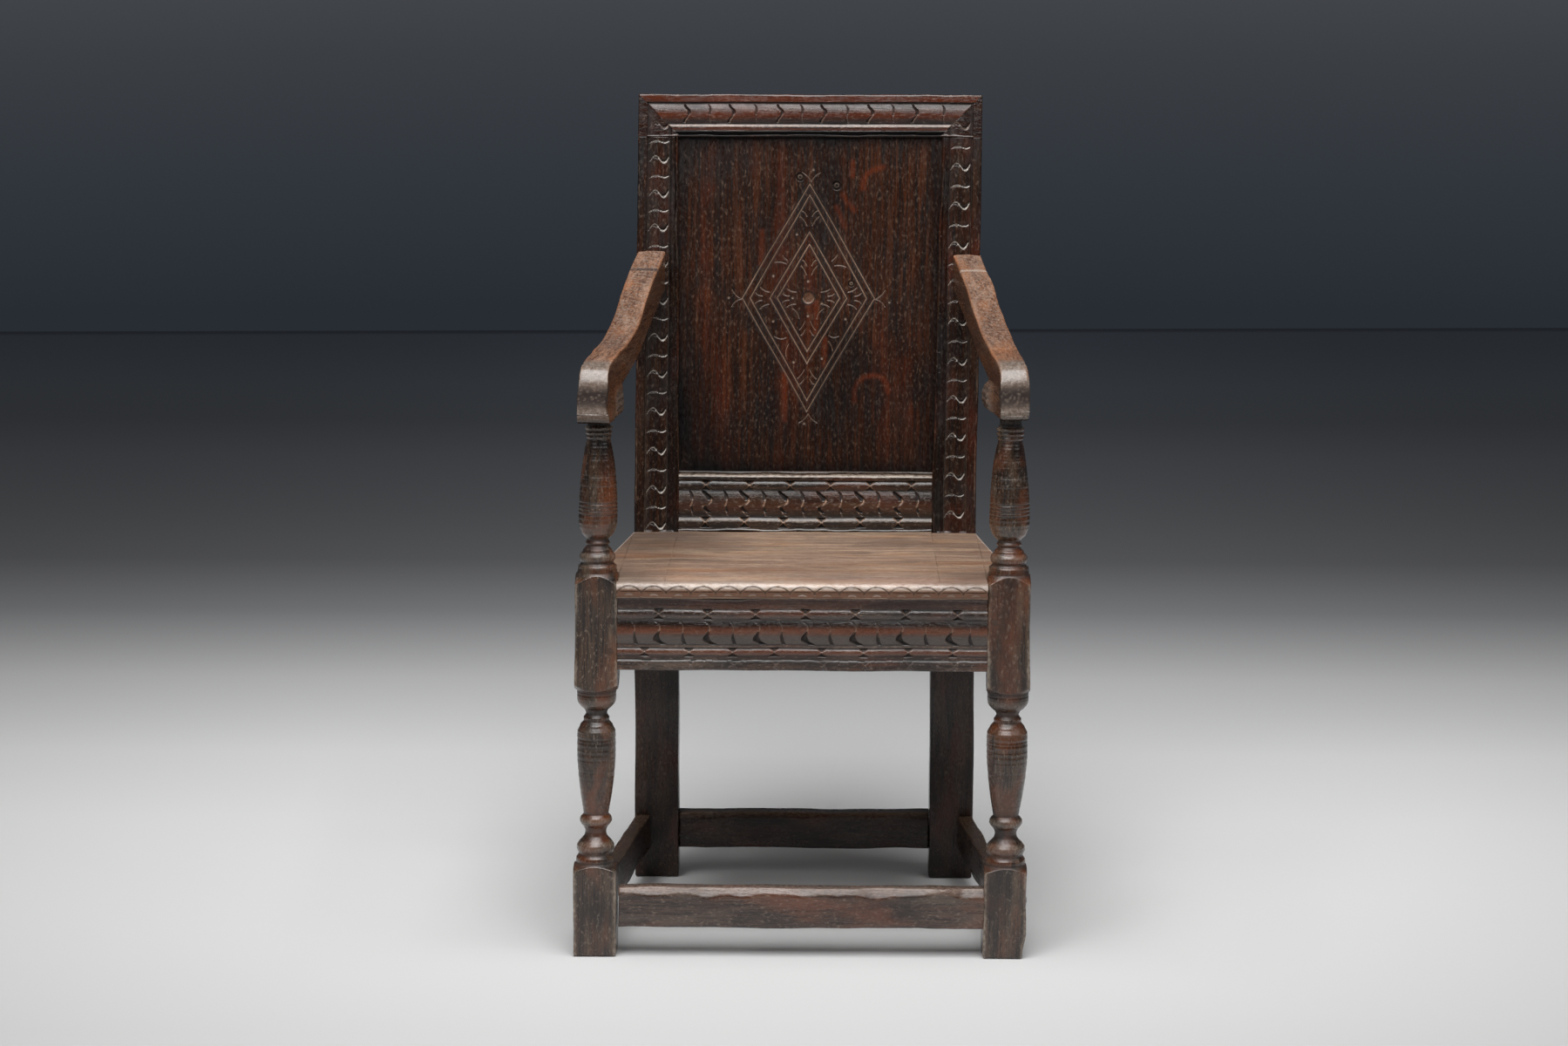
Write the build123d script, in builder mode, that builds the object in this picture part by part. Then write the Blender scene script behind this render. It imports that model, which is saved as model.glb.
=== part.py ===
from build123d import *
import os
from math import cos, radians, sin, tan

# A joined oak armchair with a panelled back. It faces -Y and stands on Z = 0,
# with its origin under the middle of its bounding box. Sizes are in millimetres.
# "Left" is -X, the left side as seen from the front.

os.makedirs("parts", exist_ok=True)

# ---------------------------------------------------------------- driving sizes

# plan of the frame
front_width = 560.0  # over the outer faces of the front posts
back_width = 454.0  # over the outer faces of the back posts
frame_depth = 400.0  # front face of the front posts to front face of the back posts
side_front_inset = 18.0  # outer face of a side rail, inside the front post's outer face
side_rear_inset = 1.0  # the same at the back post

# posts
front_post_size = 53.0
back_post_width = 58.5
back_post_top_width = 53.0
back_post_depth = 46.0
knee_below_seat = 41.5  # height below the seat at which the back posts begin to lean
back_rake = 4.63  # degrees
foot_chamfer = 3.0
foot_block_height = 107.0
block_below_rail = 19.0  # square seat block of the front post beyond the front seat rail
block_above_rail = 15.0
ring_steps = 3  # straight tapers in each bead and neck of the turnings

# seat
seat_height = 471.5
seat_thickness = 19.5
seat_overhang = 7.0  # nosing in front of the front posts
seat_tongue = 24.0  # board behind the front face of the back posts
nosing_radius = 5.0
nosing_under_radius = 2.0

# seat rails
front_rail_height = 90.0
front_rail_thickness = 30.0
front_rail_recess = 3.0  # behind the front faces of the posts
side_rail_height = 80.0
side_rail_thickness = 25.0
rear_rail_height = 70.0
rear_rail_thickness = 28.0
rear_rail_recess = 5.0

# stretchers
front_stretcher_bottom = 37.5
front_stretcher_height = 49.5
front_stretcher_thickness = 26.0
front_stretcher_recess = 2.0
rear_stretcher_bottom = 40.0
rear_stretcher_height = 48.0
rear_stretcher_thickness = 29.0
rear_stretcher_recess = 6.0
side_stretcher_bottom = 42.0
side_stretcher_height = 44.0
side_stretcher_thickness = 20.0

# back, measured up the slope from the line where it begins
lower_rail_top = 122.0
lower_rail_thickness = 32.0
crest_bottom = 564.0
crest_height = 56.0

# mouldings run along the back posts and across the crest rail, from the outer edge in
fillet_width = 12.0
crest_fillet_width = 10.0
quirk_width = 3.0
quirk_depth = 3.5
cushion_width = 27.0
crest_cushion_width = 25.0
cushion_edge_depth = 2.6
cushion_crown_depth = 0.4
bead_gap = 1.2
bead_width = 9.0
bead_edge_depth = 2.4
bead_crown_depth = 0.8
inner_bevel = 5.0
crest_edge_radius = 3.0

# mouldings of the lower back rail and the front seat rail. A band is how far its upper
# and lower edges lie below the top of the rail, and its crown behind the rail's face.
rail_quirk_depth = 2.6
lower_rail_bevel = 6.0
lower_rail_fascia = 12.0
lower_rail_bands = ((13.0, 25.0, 0.6), (26.5, 59.5, 0.3), (62.0, 74.5, 0.6))
front_rail_fascia_depth = 2.5
front_rail_bands = ((14.6, 26.5, 0.5), (28.5, 58.0, 0.2), (62.8, 72.5, 0.8))
front_rail_lower_fascia = 78.0
rail_edge_radius = 1.5

# panel
panel_setback = 8.0  # panel face behind the face of the frame
panel_thickness = 12.0
panel_edge_thickness = 7.0
panel_bevel = 30.0  # width of the bevel on the hidden face
groove_depth = 8.0
panel_edge_play = 1.0

# arms
arm_width = 36.5
arm_post_offset = 2.5  # arm's centre inside the post's centre
arm_reach = 38.0  # front of the arm beyond the front face of the post
arm_seat_height = 668.0  # underside of the arm where it stands on the post
arm_rear_height = 841.0  # top of the arm at the back post
arm_rear_thickness = 50.0
arm_knee_thickness = 43.0
hand_height = 72.0  # top of the hand-hold above the underside
hand_roll_radius = 38.0
hand_toe_radius = 12.0
scroll_length = 52.0  # back of the scroll behind the post's centre
scroll_height = 38.0
arm_edge_chamfer = 2.5
left_arm_sag = 6.0  # how far the middle of each hand-sawn arm lies below the mean line
right_arm_sag = -6.0

# joints
tenon_length = 27.0
rail_tenon_thickness = 10.0
rail_tenon_shoulder = 9.0  # rail above and below its tenon
stretcher_tenon_thickness = 9.0
stretcher_tenon_shoulder = 6.0
lower_rail_tenon_height = 55.0
lower_rail_tenon_setback = 16.0
crest_tenon_thickness = 12.0
crest_tenon_width = 30.0
crest_tenon_length = 34.0
crest_tenon_setback = 19.0
arm_tenon_width = 11.0
arm_tenon_height = 30.0
arm_tenon_length = 24.0
arm_pin_radius = 9.5
arm_pin_length = 24.0
peg_radius = 4.0  # over the corners of its eight riven sides
peg_sides = 8
peg_length = 34.0
peg_proud = 0.6
peg_from_shoulder = 8.0
peg_from_edge = 12.0  # inside the top and bottom of a tenon
front_peg_rises = (24.0, 62.0)  # above the underside of the front seat rail

# clearances
tenon_clearance = 0.2
mortise_end_clearance = 0.5
peg_clearance = 0.1
panel_clearance = 0.3
notch_clearance = 0.3

# ---------------------------------------------------------------- worked out

rake = radians(back_rake)
rake_start = seat_height - knee_below_seat
crest_top = crest_bottom + crest_height
total_depth = arm_reach + frame_depth + crest_top * sin(rake) + back_post_depth * cos(rake)
front_y = arm_reach - total_depth / 2
back_y = front_y + frame_depth

front_post_x = (front_width - front_post_size) / 2
front_post_y = front_y + front_post_size / 2
front_inner_x = front_width / 2 - front_post_size
front_rear_y = front_y + front_post_size
back_outer_x = back_width / 2
back_inner_x = back_outer_x - back_post_width
back_post_taper = back_post_width - back_post_top_width
seat_bottom = seat_height - seat_thickness
front_rail_bottom = seat_bottom - front_rail_height
side_rail_bottom = seat_bottom - side_rail_height
rear_rail_bottom = seat_bottom - rear_rail_height

side_front_x = front_width / 2 - side_front_inset
side_rear_x = back_outer_x - side_rear_inset
side_run = back_y - front_rear_y
side_slope = (side_front_x - side_rear_x) / side_run
side_cos = 1 / (1 + side_slope**2) ** 0.5
side_sin = side_slope * side_cos

# the leaning face of the back: X across, Y up the slope, Z out of the front
back_face = Plane(
    origin=(0, back_y, rake_start), x_dir=(1, 0, 0), z_dir=(0, -cos(rake), sin(rake))
)


def bar(plane, wide, high, length):
    """A rectangular bar that starts on a plane and runs along its normal."""
    with BuildPart() as block:
        with BuildSketch(plane):
            Rectangle(wide, high)
        extrude(amount=length)
    return block.part


def rod(plane, radius, length):
    """A round bar that starts on a plane and runs along its normal."""
    with BuildPart() as round_bar:
        with BuildSketch(plane):
            Circle(radius)
        extrude(amount=length)
    return round_bar.part


def across(plane):
    """The same plane on the other side of the chair."""
    origin, along, out = plane.origin, plane.x_dir, plane.z_dir
    return Plane(
        origin=(-origin.X, origin.Y, origin.Z),
        x_dir=(-along.X, along.Y, along.Z),
        z_dir=(-out.X, out.Y, out.Z),
    )


# ---------------------------------------------------------------- tenons and mortises
# Each joint on the right side is one entry: its shoulder plane, whose normal points
# into the post, the tenon's section, and its length. The tenon and its mortise come
# from the same entry.


def tenon_of(joint):
    """The tenon, begun inside its own rail so that a skewed shoulder is covered."""
    plane, wide, high, length, root = joint
    return bar(plane.offset(-root), wide, high, length + root)


def mortise_of(joint):
    """The hole for that tenon, with clearance all round and at its end."""
    plane, wide, high, length, root = joint
    play = 2 * tenon_clearance
    deep = length + root + mortise_end_clearance
    return bar(plane.offset(-root), wide + play, high + play, deep)


def left_joint(joint):
    """The same joint on the left side."""
    return (across(joint[0]), *joint[1:])


def tenon_pair(joint):
    """The tenons at both ends of a rail across the chair."""
    return [tenon_of(joint), tenon_of(left_joint(joint))]


def cross_joint(shoulder_x, centre_y, bottom, height, thickness, shoulder):
    """A joint of a rail that runs across the chair."""
    plane = Plane(
        origin=(shoulder_x, centre_y, bottom + height / 2), x_dir=(0, 1, 0), z_dir=(1, 0, 0)
    )
    return (plane, thickness, height - 2 * shoulder, tenon_length, 1.0)


def side_joint(shoulder_y, forward, rail_thickness, bottom, height, thickness, shoulder):
    """A joint of a rail that runs along the splayed side."""
    outer_x = side_front_x if forward > 0 else side_rear_x
    centre_x = outer_x - rail_thickness / 2 / side_cos
    plane = Plane(
        origin=(centre_x, shoulder_y, bottom + height / 2),
        x_dir=(forward * side_cos, forward * side_sin, 0),
        z_dir=(forward * side_sin, -forward * side_cos, 0),
    )
    skew_cover = thickness * side_slope + 1.0
    return (plane, thickness, height - 2 * shoulder, tenon_length, skew_cover)


front_tenon_y = front_y + (front_post_size - tenon_length) / 2 + front_rail_recess

front_rail_joint = cross_joint(
    front_inner_x, front_tenon_y, front_rail_bottom, front_rail_height,
    rail_tenon_thickness, rail_tenon_shoulder,
)
front_stretcher_joint = cross_joint(
    front_inner_x, front_tenon_y, front_stretcher_bottom, front_stretcher_height,
    stretcher_tenon_thickness, stretcher_tenon_shoulder,
)
rear_rail_joint = cross_joint(
    back_inner_x, back_y + rear_rail_recess + rear_rail_thickness / 2, rear_rail_bottom,
    rear_rail_height, rail_tenon_thickness, rail_tenon_shoulder,
)
rear_stretcher_joint = cross_joint(
    back_inner_x, back_y + rear_stretcher_recess + rear_stretcher_thickness / 2,
    rear_stretcher_bottom, rear_stretcher_height,
    stretcher_tenon_thickness, stretcher_tenon_shoulder,
)
side_rail_front_joint = side_joint(
    front_rear_y, 1, side_rail_thickness, side_rail_bottom, side_rail_height,
    rail_tenon_thickness, rail_tenon_shoulder,
)
side_rail_rear_joint = side_joint(
    back_y, -1, side_rail_thickness, side_rail_bottom, side_rail_height,
    rail_tenon_thickness, rail_tenon_shoulder,
)
side_stretcher_front_joint = side_joint(
    front_rear_y, 1, side_stretcher_thickness, side_stretcher_bottom,
    side_stretcher_height, stretcher_tenon_thickness, stretcher_tenon_shoulder,
)
side_stretcher_rear_joint = side_joint(
    back_y, -1, side_stretcher_thickness, side_stretcher_bottom,
    side_stretcher_height, stretcher_tenon_thickness, stretcher_tenon_shoulder,
)

# the lower back rail's tenon stands in the leaning face of the back
lower_rail_joint = (
    Plane(
        origin=back_face.from_local_coords(
            (
                back_inner_x,
                lower_rail_top - groove_depth - 4 - lower_rail_tenon_height / 2,
                -lower_rail_tenon_setback - rail_tenon_thickness / 2,
            )
        ),
        x_dir=back_face.z_dir,
        z_dir=(1, 0, 0),
    ),
    rail_tenon_thickness,
    lower_rail_tenon_height,
    tenon_length,
    1.0,
)

# the back post's top tenon stands up into the crest rail
crest_tenon_x = back_outer_x - back_post_top_width / 2 + 1
crest_joint = (
    Plane(
        origin=back_face.from_local_coords(
            (crest_tenon_x, crest_bottom, -crest_tenon_setback - crest_tenon_thickness / 2)
        ),
        x_dir=(1, 0, 0),
        z_dir=(0, sin(rake), cos(rake)),
    ),
    crest_tenon_width,
    crest_tenon_thickness,
    crest_tenon_length,
    1.0,
)

# the arm's plane: X towards the back along the arm, Y up
arm_x = front_post_x - arm_post_offset
arm_plane = Plane(
    origin=(arm_x, front_post_y, 0),
    x_dir=(-side_sin, side_cos, 0),
    z_dir=(side_cos, side_sin, 0),
)
arm_end_y = back_y + (arm_rear_height - rake_start) * tan(rake)
arm_end = (arm_end_y - front_post_y) / side_cos
arm_joint = (
    Plane(
        origin=(
            arm_x - arm_end * side_sin,
            arm_end_y,
            arm_rear_height - arm_rear_thickness / 2 - 2,
        ),
        x_dir=(side_cos, side_sin, 0),
        z_dir=(-side_sin, side_cos, 0),
    ),
    arm_tenon_width,
    arm_tenon_height,
    arm_tenon_length,
    6.0,
)


# ---------------------------------------------------------------- pegs
# Each peg on the right side is one plane at the face it enters, its normal pointing in.


def peg_into_front(x, z):
    """A peg driven into the front face of a front post."""
    return Plane(origin=(x, front_y, z), z_dir=(0, 1, 0))


def peg_into_back(x, z):
    """A peg driven into the vertical back face of a back post."""
    return Plane(origin=(x, back_y + back_post_depth, z), z_dir=(0, -1, 0))


def peg_into_side(x, y, z):
    """A peg driven into an outer side face."""
    return Plane(origin=(x, y, z), z_dir=(-1, 0, 0))


def peg_into_slope(x, w):
    """A peg driven into the leaning back face."""
    behind = back_face.offset(-back_post_depth)
    return Plane(origin=behind.from_local_coords((x, w, 0)), z_dir=back_face.z_dir)


def pair_heights(bottom, height, shoulder):
    """Two peg heights inside a tenon."""
    inset = shoulder + peg_from_edge
    return (bottom + inset, bottom + height - inset)


side_peg_front_y = front_rear_y - peg_from_shoulder
side_peg_rear_y = back_y + peg_from_shoulder
inner_peg_x = front_inner_x + peg_from_shoulder
back_peg_x = back_inner_x + peg_from_shoulder
lower_rail_peg_rise = lower_rail_tenon_height / 2 - peg_from_edge
lower_rail_mid = lower_rail_top - groove_depth - 4 - lower_rail_tenon_height / 2
side_rail_peg_heights = pair_heights(side_rail_bottom, side_rail_height, rail_tenon_shoulder)
rear_rail_peg_heights = pair_heights(rear_rail_bottom, rear_rail_height, rail_tenon_shoulder)
side_stretcher_mid = side_stretcher_bottom + side_stretcher_height / 2
rear_stretcher_mid = rear_stretcher_bottom + rear_stretcher_height / 2
front_outer_x = front_width / 2
arm_peg_z = arm_rear_height - arm_rear_thickness / 2 - 2
arm_peg_y = back_y + (arm_peg_z - rake_start) * tan(rake) + 11

peg_planes = {
    "pegs_front_rail": [
        peg_into_front(inner_peg_x, front_rail_bottom + rise) for rise in front_peg_rises
    ],
    "pegs_rear_rail": [peg_into_back(back_peg_x, z) for z in rear_rail_peg_heights],
    "pegs_rear_stretcher": [peg_into_back(back_peg_x, rear_stretcher_mid)],
    "pegs_side_rails_front": [
        peg_into_side(front_outer_x, side_peg_front_y, z) for z in side_rail_peg_heights
    ],
    "pegs_side_rails_rear": [
        peg_into_side(back_outer_x, side_peg_rear_y, z) for z in side_rail_peg_heights
    ],
    "pegs_side_stretchers_front": [
        peg_into_side(front_outer_x, side_peg_front_y, side_stretcher_mid)
    ],
    "pegs_side_stretchers_rear": [
        peg_into_side(back_outer_x, side_peg_rear_y, side_stretcher_mid)
    ],
    "pegs_lower_back_rail": [
        peg_into_slope(back_peg_x, lower_rail_mid + rise)
        for rise in (-lower_rail_peg_rise, lower_rail_peg_rise)
    ],
    "pegs_crest_rail": [
        peg_into_slope(crest_tenon_x + shift, crest_bottom + 12) for shift in (-8, 8)
    ],
    "pegs_arms": [peg_into_side(back_outer_x, arm_peg_y, arm_peg_z)],
}


def riven_peg(plane, radius, length):
    """An eight-sided bar that starts on a plane and runs along its normal."""
    with BuildPart() as peg:
        with BuildSketch(plane):
            RegularPolygon(radius, peg_sides)
        extrude(amount=length)
    return peg.part


def peg_hole(plane):
    """The hole of one peg, begun outside the face so that it runs clear of it."""
    start = 2 * peg_proud
    length = start + peg_length + mortise_end_clearance
    return riven_peg(plane.offset(-start), peg_radius + peg_clearance, length)


def peg_holes(*names):
    """The holes of the named pegs, on the right side."""
    return [peg_hole(plane) for name in names for plane in peg_planes[name]]


def peg_holes_across(*names):
    """The holes of the named pegs, on both sides."""
    planes = [plane for name in names for plane in peg_planes[name]]
    return [peg_hole(plane) for right in planes for plane in (right, across(right))]


# ---------------------------------------------------------------- turned posts
# Each turning stands between two square blocks. Beads and necks keep their distance from
# the block next to them, and the vase between them takes up the rest of the height. The
# small rings are cut in short straight tapers, as many as ring_steps to a ring.


def ring(low, middle, high):
    """Straight tapers along the arc of a bead or a neck: points are radius and height."""
    curve = ThreePointArc(low, middle, high, mode=Mode.PRIVATE)
    Polyline(*[curve @ (step / ring_steps) for step in range(ring_steps + 1)])


def vase(low, high, swell):
    """A long curve that stands out from the straight taper by the swell at its middle."""
    middle = ((low[0] + high[0]) / 2 + swell, (low[1] + high[1]) / 2)
    ThreePointArc(low, middle, high)


def turned_outline():
    """Radius against height, from the foot to the top of the pin, and back down the axis."""
    corner = front_post_size * 0.7072
    foot = foot_block_height
    rail = front_rail_bottom - block_below_rail
    seat = seat_bottom + block_above_rail
    arm = arm_seat_height
    pin_top = arm + arm_pin_length
    # foot block, shoulder and collar
    Polyline(
        (0, 0), (corner, 0), (corner, foot), (24.4, foot + 8), (24.4, foot + 15),
        (20.5, foot + 20),
    )
    ring((20.5, foot + 20), (23.6, foot + 27.8), (20.5, foot + 35.5))  # bead
    ring((20.5, foot + 35.5), (13.2, foot + 46.5), (17.6, foot + 56.5))  # neck
    ring((17.6, foot + 56.5), (20.2, foot + 61.5), (15.4, foot + 70))  # bead
    # vase, and the belly over it
    vase((15.4, foot + 70), (24.4, rail - 92), 1.4)
    Line((24.4, rail - 92), (24.3, rail - 70))
    ring((24.3, rail - 70), (22.7, rail - 56.5), (16.4, rail - 48.5))
    Line((16.4, rail - 48.5), (16.4, rail - 43.5))
    ring((16.4, rail - 43.5), (13.5, rail - 39), (18.2, rail - 31.6))  # neck
    ring((18.2, rail - 31.6), (22.4, rail - 29.4), (24.6, rail - 20))  # ovolo
    # collar and shoulder under the seat block, the block, and its upper shoulder
    Polyline(
        (24.6, rail - 20), (24.6, rail - 10), (corner, rail), (corner, seat),
        (24.9, seat + 13.5), (24.2, seat + 21.6), (20, seat + 25.6),
    )
    ring((20, seat + 25.6), (22.9, seat + 32.2), (20, seat + 38.8))  # bead
    ring((20, seat + 38.8), (12.6, seat + 46.8), (15.6, seat + 53.4))  # neck
    ring((15.6, seat + 53.4), (21.8, seat + 63), (24, seat + 82))  # belly
    vase((24, seat + 82), (14.3, arm - 21), 1.45)
    ring((14.3, arm - 21), (16.2, arm - 15), (14.3, arm - 8.4))  # bead
    # the pin that enters the arm
    Polyline(
        (14.3, arm - 8.4), (14.3, arm), (arm_pin_radius, arm), (arm_pin_radius, pin_top),
        (0, pin_top), (0, 0),
    )


post_axis = Plane(origin=(front_post_x, front_post_y, 0), x_dir=(1, 0, 0), z_dir=(0, -1, 0))
front_mortises = [
    mortise_of(joint)
    for joint in (
        front_rail_joint, front_stretcher_joint, side_rail_front_joint, side_stretcher_front_joint
    )
]
front_holes = peg_holes(
    "pegs_front_rail", "pegs_side_rails_front", "pegs_side_stretchers_front"
)

with BuildPart() as front_post_right:
    with BuildSketch(post_axis):
        with BuildLine():
            turned_outline()
        make_face()
    revolve(axis=Axis((front_post_x, front_post_y, 0), (0, 0, 1)))
    with BuildSketch(Plane.XY):
        with Locations((front_post_x, front_post_y)):
            Rectangle(front_post_size, front_post_size)
    extrude(amount=arm_seat_height + arm_pin_length, mode=Mode.INTERSECT)
    chamfer(front_post_right.faces().sort_by(Axis.Z)[0].edges(), foot_chamfer)
    add(front_mortises, mode=Mode.SUBTRACT)
    add(front_holes, mode=Mode.SUBTRACT)

with BuildPart() as front_post_left:
    add(mirror(front_post_right.part, about=Plane.YZ))

# ---------------------------------------------------------------- frame moulding
# The moulding is run in the face of the frame: a flat outer fillet, a quirk, a wide
# cushion, a second quirk, a bead, and a bevel down to the panel.


def moulding_curve(fillet, cushion):
    """The waste above the moulding: X inwards from the outer edge, Y out of the face."""
    above = 2.0
    start = fillet
    hollow = start + quirk_width / 2
    cushion_start = start + quirk_width
    cushion_end = cushion_start + cushion
    bead_start = cushion_end + bead_gap
    bead_end = bead_start + bead_width
    Line((start, above), (start, 0))
    ThreePointArc((start, 0), (hollow - 0.4, -quirk_depth), (cushion_start, -cushion_edge_depth))
    ThreePointArc(
        (cushion_start, -cushion_edge_depth),
        ((cushion_start + cushion_end) / 2, -cushion_crown_depth),
        (cushion_end, -cushion_edge_depth),
    )
    gap_middle = cushion_end + bead_gap / 2
    Line((cushion_end, -cushion_edge_depth), (gap_middle, -quirk_depth))
    Line((gap_middle, -quirk_depth), (bead_start, -bead_edge_depth))
    ThreePointArc(
        (bead_start, -bead_edge_depth),
        ((bead_start + bead_end) / 2, -bead_crown_depth),
        (bead_end, -bead_edge_depth),
    )
    Line((bead_end, -bead_edge_depth), (bead_end + 0.01, above))
    Line((bead_end + 0.01, above), (start, above))


mitre_out = crest_height  # the mitre runs at the same rate across crest and post


def post_waste():
    """Moulding waste along the right back post and up the crest rail's end, to the mitre."""
    outer_edge = Plane(
        origin=back_face.from_local_coords((back_outer_x, 0, 0)),
        x_dir=(-1, 0, 0),
        z_dir=(0, sin(rake), cos(rake)),
    )
    with BuildPart() as waste:
        with BuildSketch(outer_edge):
            with BuildLine():
                moulding_curve(fillet_width, cushion_width)
            make_face()
        extrude(amount=crest_top)
        with BuildSketch(back_face):
            with BuildLine():
                Polyline(
                    (back_outer_x, 0),
                    (back_outer_x, crest_top),
                    (back_outer_x - mitre_out, crest_top - mitre_out),
                    (back_outer_x - mitre_out, 0),
                    close=True,
                )
            make_face()
        extrude(amount=2 * quirk_depth, both=True, mode=Mode.INTERSECT)
    return waste.part


def crest_waste():
    """Moulding waste along the crest rail, between its two mitres."""
    top_edge = Plane(
        origin=back_face.from_local_coords((back_outer_x, crest_top, 0)),
        x_dir=(0, -sin(rake), -cos(rake)),
        z_dir=(-1, 0, 0),
    )
    with BuildPart() as waste:
        with BuildSketch(top_edge):
            with BuildLine():
                moulding_curve(crest_fillet_width, crest_cushion_width)
            make_face()
        extrude(amount=back_width)
        with BuildSketch(back_face):
            with BuildLine():
                Polyline(
                    (-back_outer_x, crest_top),
                    (back_outer_x, crest_top),
                    (back_outer_x - mitre_out, crest_top - mitre_out),
                    (-back_outer_x + mitre_out, crest_top - mitre_out),
                    close=True,
                )
            make_face()
        extrude(amount=2 * quirk_depth, both=True, mode=Mode.INTERSECT)
    return waste.part


right_waste = post_waste()
left_waste = mirror(right_waste, about=Plane.YZ)
top_waste = crest_waste()

# ---------------------------------------------------------------- panel
# A tapered board bevelled round its hidden face, held in a groove in all four members.


def panel_outline(grow):
    """The panel's outline in the leaning face, grown by an amount all round."""
    half_low = back_inner_x + groove_depth - panel_edge_play + grow
    half_high = half_low + back_post_taper
    low = lower_rail_top - groove_depth + panel_edge_play - grow
    high = crest_bottom + groove_depth - panel_edge_play + grow
    Polyline((-half_low, low), (half_low, low), (half_high, high), (-half_high, high), close=True)


with BuildPart() as back_panel:
    with BuildSketch(back_face.offset(-panel_setback)):
        with BuildLine():
            panel_outline(0)
        make_face()
    extrude(amount=-panel_thickness)
    hidden_edges = back_panel.faces().sort_by(Axis((0, 0, 0), back_face.z_dir))[0].edges()
    chamfer(hidden_edges, panel_thickness - panel_edge_thickness, panel_bevel)

# the groove takes the panel's edge and the part of the bevel that lies inside it
groove_bevel = (panel_thickness - panel_edge_thickness) * groove_depth / panel_bevel
groove_width = panel_edge_thickness + groove_bevel + 2 * panel_clearance

with BuildPart() as panel_slot:
    with BuildSketch(back_face.offset(-panel_setback + panel_clearance)):
        with BuildLine():
            panel_outline(panel_edge_play)
        make_face()
    extrude(amount=-groove_width)

# ---------------------------------------------------------------- back posts
back_mortises = [
    mortise_of(joint)
    for joint in (
        rear_rail_joint, rear_stretcher_joint, side_rail_rear_joint,
        side_stretcher_rear_joint, lower_rail_joint, arm_joint,
    )
]
back_holes = peg_holes(
    "pegs_rear_rail", "pegs_rear_stretcher", "pegs_side_rails_rear",
    "pegs_side_stretchers_rear", "pegs_lower_back_rail", "pegs_crest_rail", "pegs_arms",
)
crest_tenon = tenon_of(crest_joint)
post_top = (back_y + crest_bottom * sin(rake), rake_start + crest_bottom * cos(rake))
post_top_rear = (
    post_top[0] + back_post_depth * cos(rake), post_top[1] - back_post_depth * sin(rake)
)
knee_rear = (back_y + back_post_depth, rake_start - back_post_depth * tan(rake / 2))

with BuildPart() as back_post_right:
    with BuildSketch(Plane.YZ.offset(back_inner_x)):
        with BuildLine():
            Polyline(
                (back_y, 0), (back_y, rake_start), post_top, post_top_rear, knee_rear,
                (back_y + back_post_depth, 0), close=True,
            )
        make_face()
    extrude(amount=back_post_width)
    chamfer(back_post_right.faces().sort_by(Axis.Z)[0].edges(), foot_chamfer)
    with BuildSketch(back_face):
        with BuildLine():
            Polyline(
                (back_inner_x, lower_rail_top),
                (back_inner_x + back_post_taper, crest_bottom),
                (back_inner_x, crest_bottom),
                close=True,
            )
        make_face()
    extrude(amount=2 * back_post_depth, both=True, mode=Mode.SUBTRACT)
    panel_edges = (
        back_post_right.edges()
        .filter_by(lambda edge: edge.length > crest_bottom / 2)
        .filter_by_position(Axis.Z, rake_start, rake_start + crest_top)
        .group_by(Axis.X)[0]
    )
    chamfer(panel_edges.sort_by(Axis.Y)[0], inner_bevel)
    add(crest_tenon)
    add(right_waste, mode=Mode.SUBTRACT)
    add(panel_slot.part, mode=Mode.SUBTRACT)
    add(back_mortises, mode=Mode.SUBTRACT)
    add(back_holes, mode=Mode.SUBTRACT)

with BuildPart() as back_post_left:
    add(mirror(back_post_right.part, about=Plane.YZ))

# ---------------------------------------------------------------- crest rail
crest_mortises = [mortise_of(crest_joint), mortise_of(left_joint(crest_joint))]

with BuildPart() as crest_rail:
    with BuildSketch(back_face):
        with Locations((0, crest_bottom + crest_height / 2)):
            Rectangle(back_width, crest_height)
    extrude(amount=-back_post_depth)
    front_top = crest_rail.edges().filter_by(Axis.X).group_by(Axis.Z)[-1]
    fillet(front_top, crest_edge_radius)
    add([right_waste, left_waste, top_waste], mode=Mode.SUBTRACT)
    add(panel_slot.part, mode=Mode.SUBTRACT)
    add(crest_mortises, mode=Mode.SUBTRACT)
    add(peg_holes_across("pegs_crest_rail"), mode=Mode.SUBTRACT)

# ---------------------------------------------------------------- moulded rails


def banded_face(top, bands):
    """The bands of a moulded face from the first to the last: X out of the face, Y up."""
    for index, (high, low, crown) in enumerate(bands):
        ThreePointArc(
            (-rail_quirk_depth, top - high),
            (-crown, top - (high + low) / 2),
            (-rail_quirk_depth, top - low),
        )
        if index < len(bands) - 1:
            next_high = bands[index + 1][0]
            Line((-rail_quirk_depth, top - low), (-rail_quirk_depth, top - next_high))


lower_rail_section = Plane(
    origin=back_face.from_local_coords((back_inner_x, 0, 0)),
    x_dir=back_face.z_dir,
    z_dir=(-1, 0, 0),
)
seat_clear = Plane.XY.offset(seat_height + panel_clearance)
lower_rail_holes = peg_holes_across("pegs_lower_back_rail")

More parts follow.
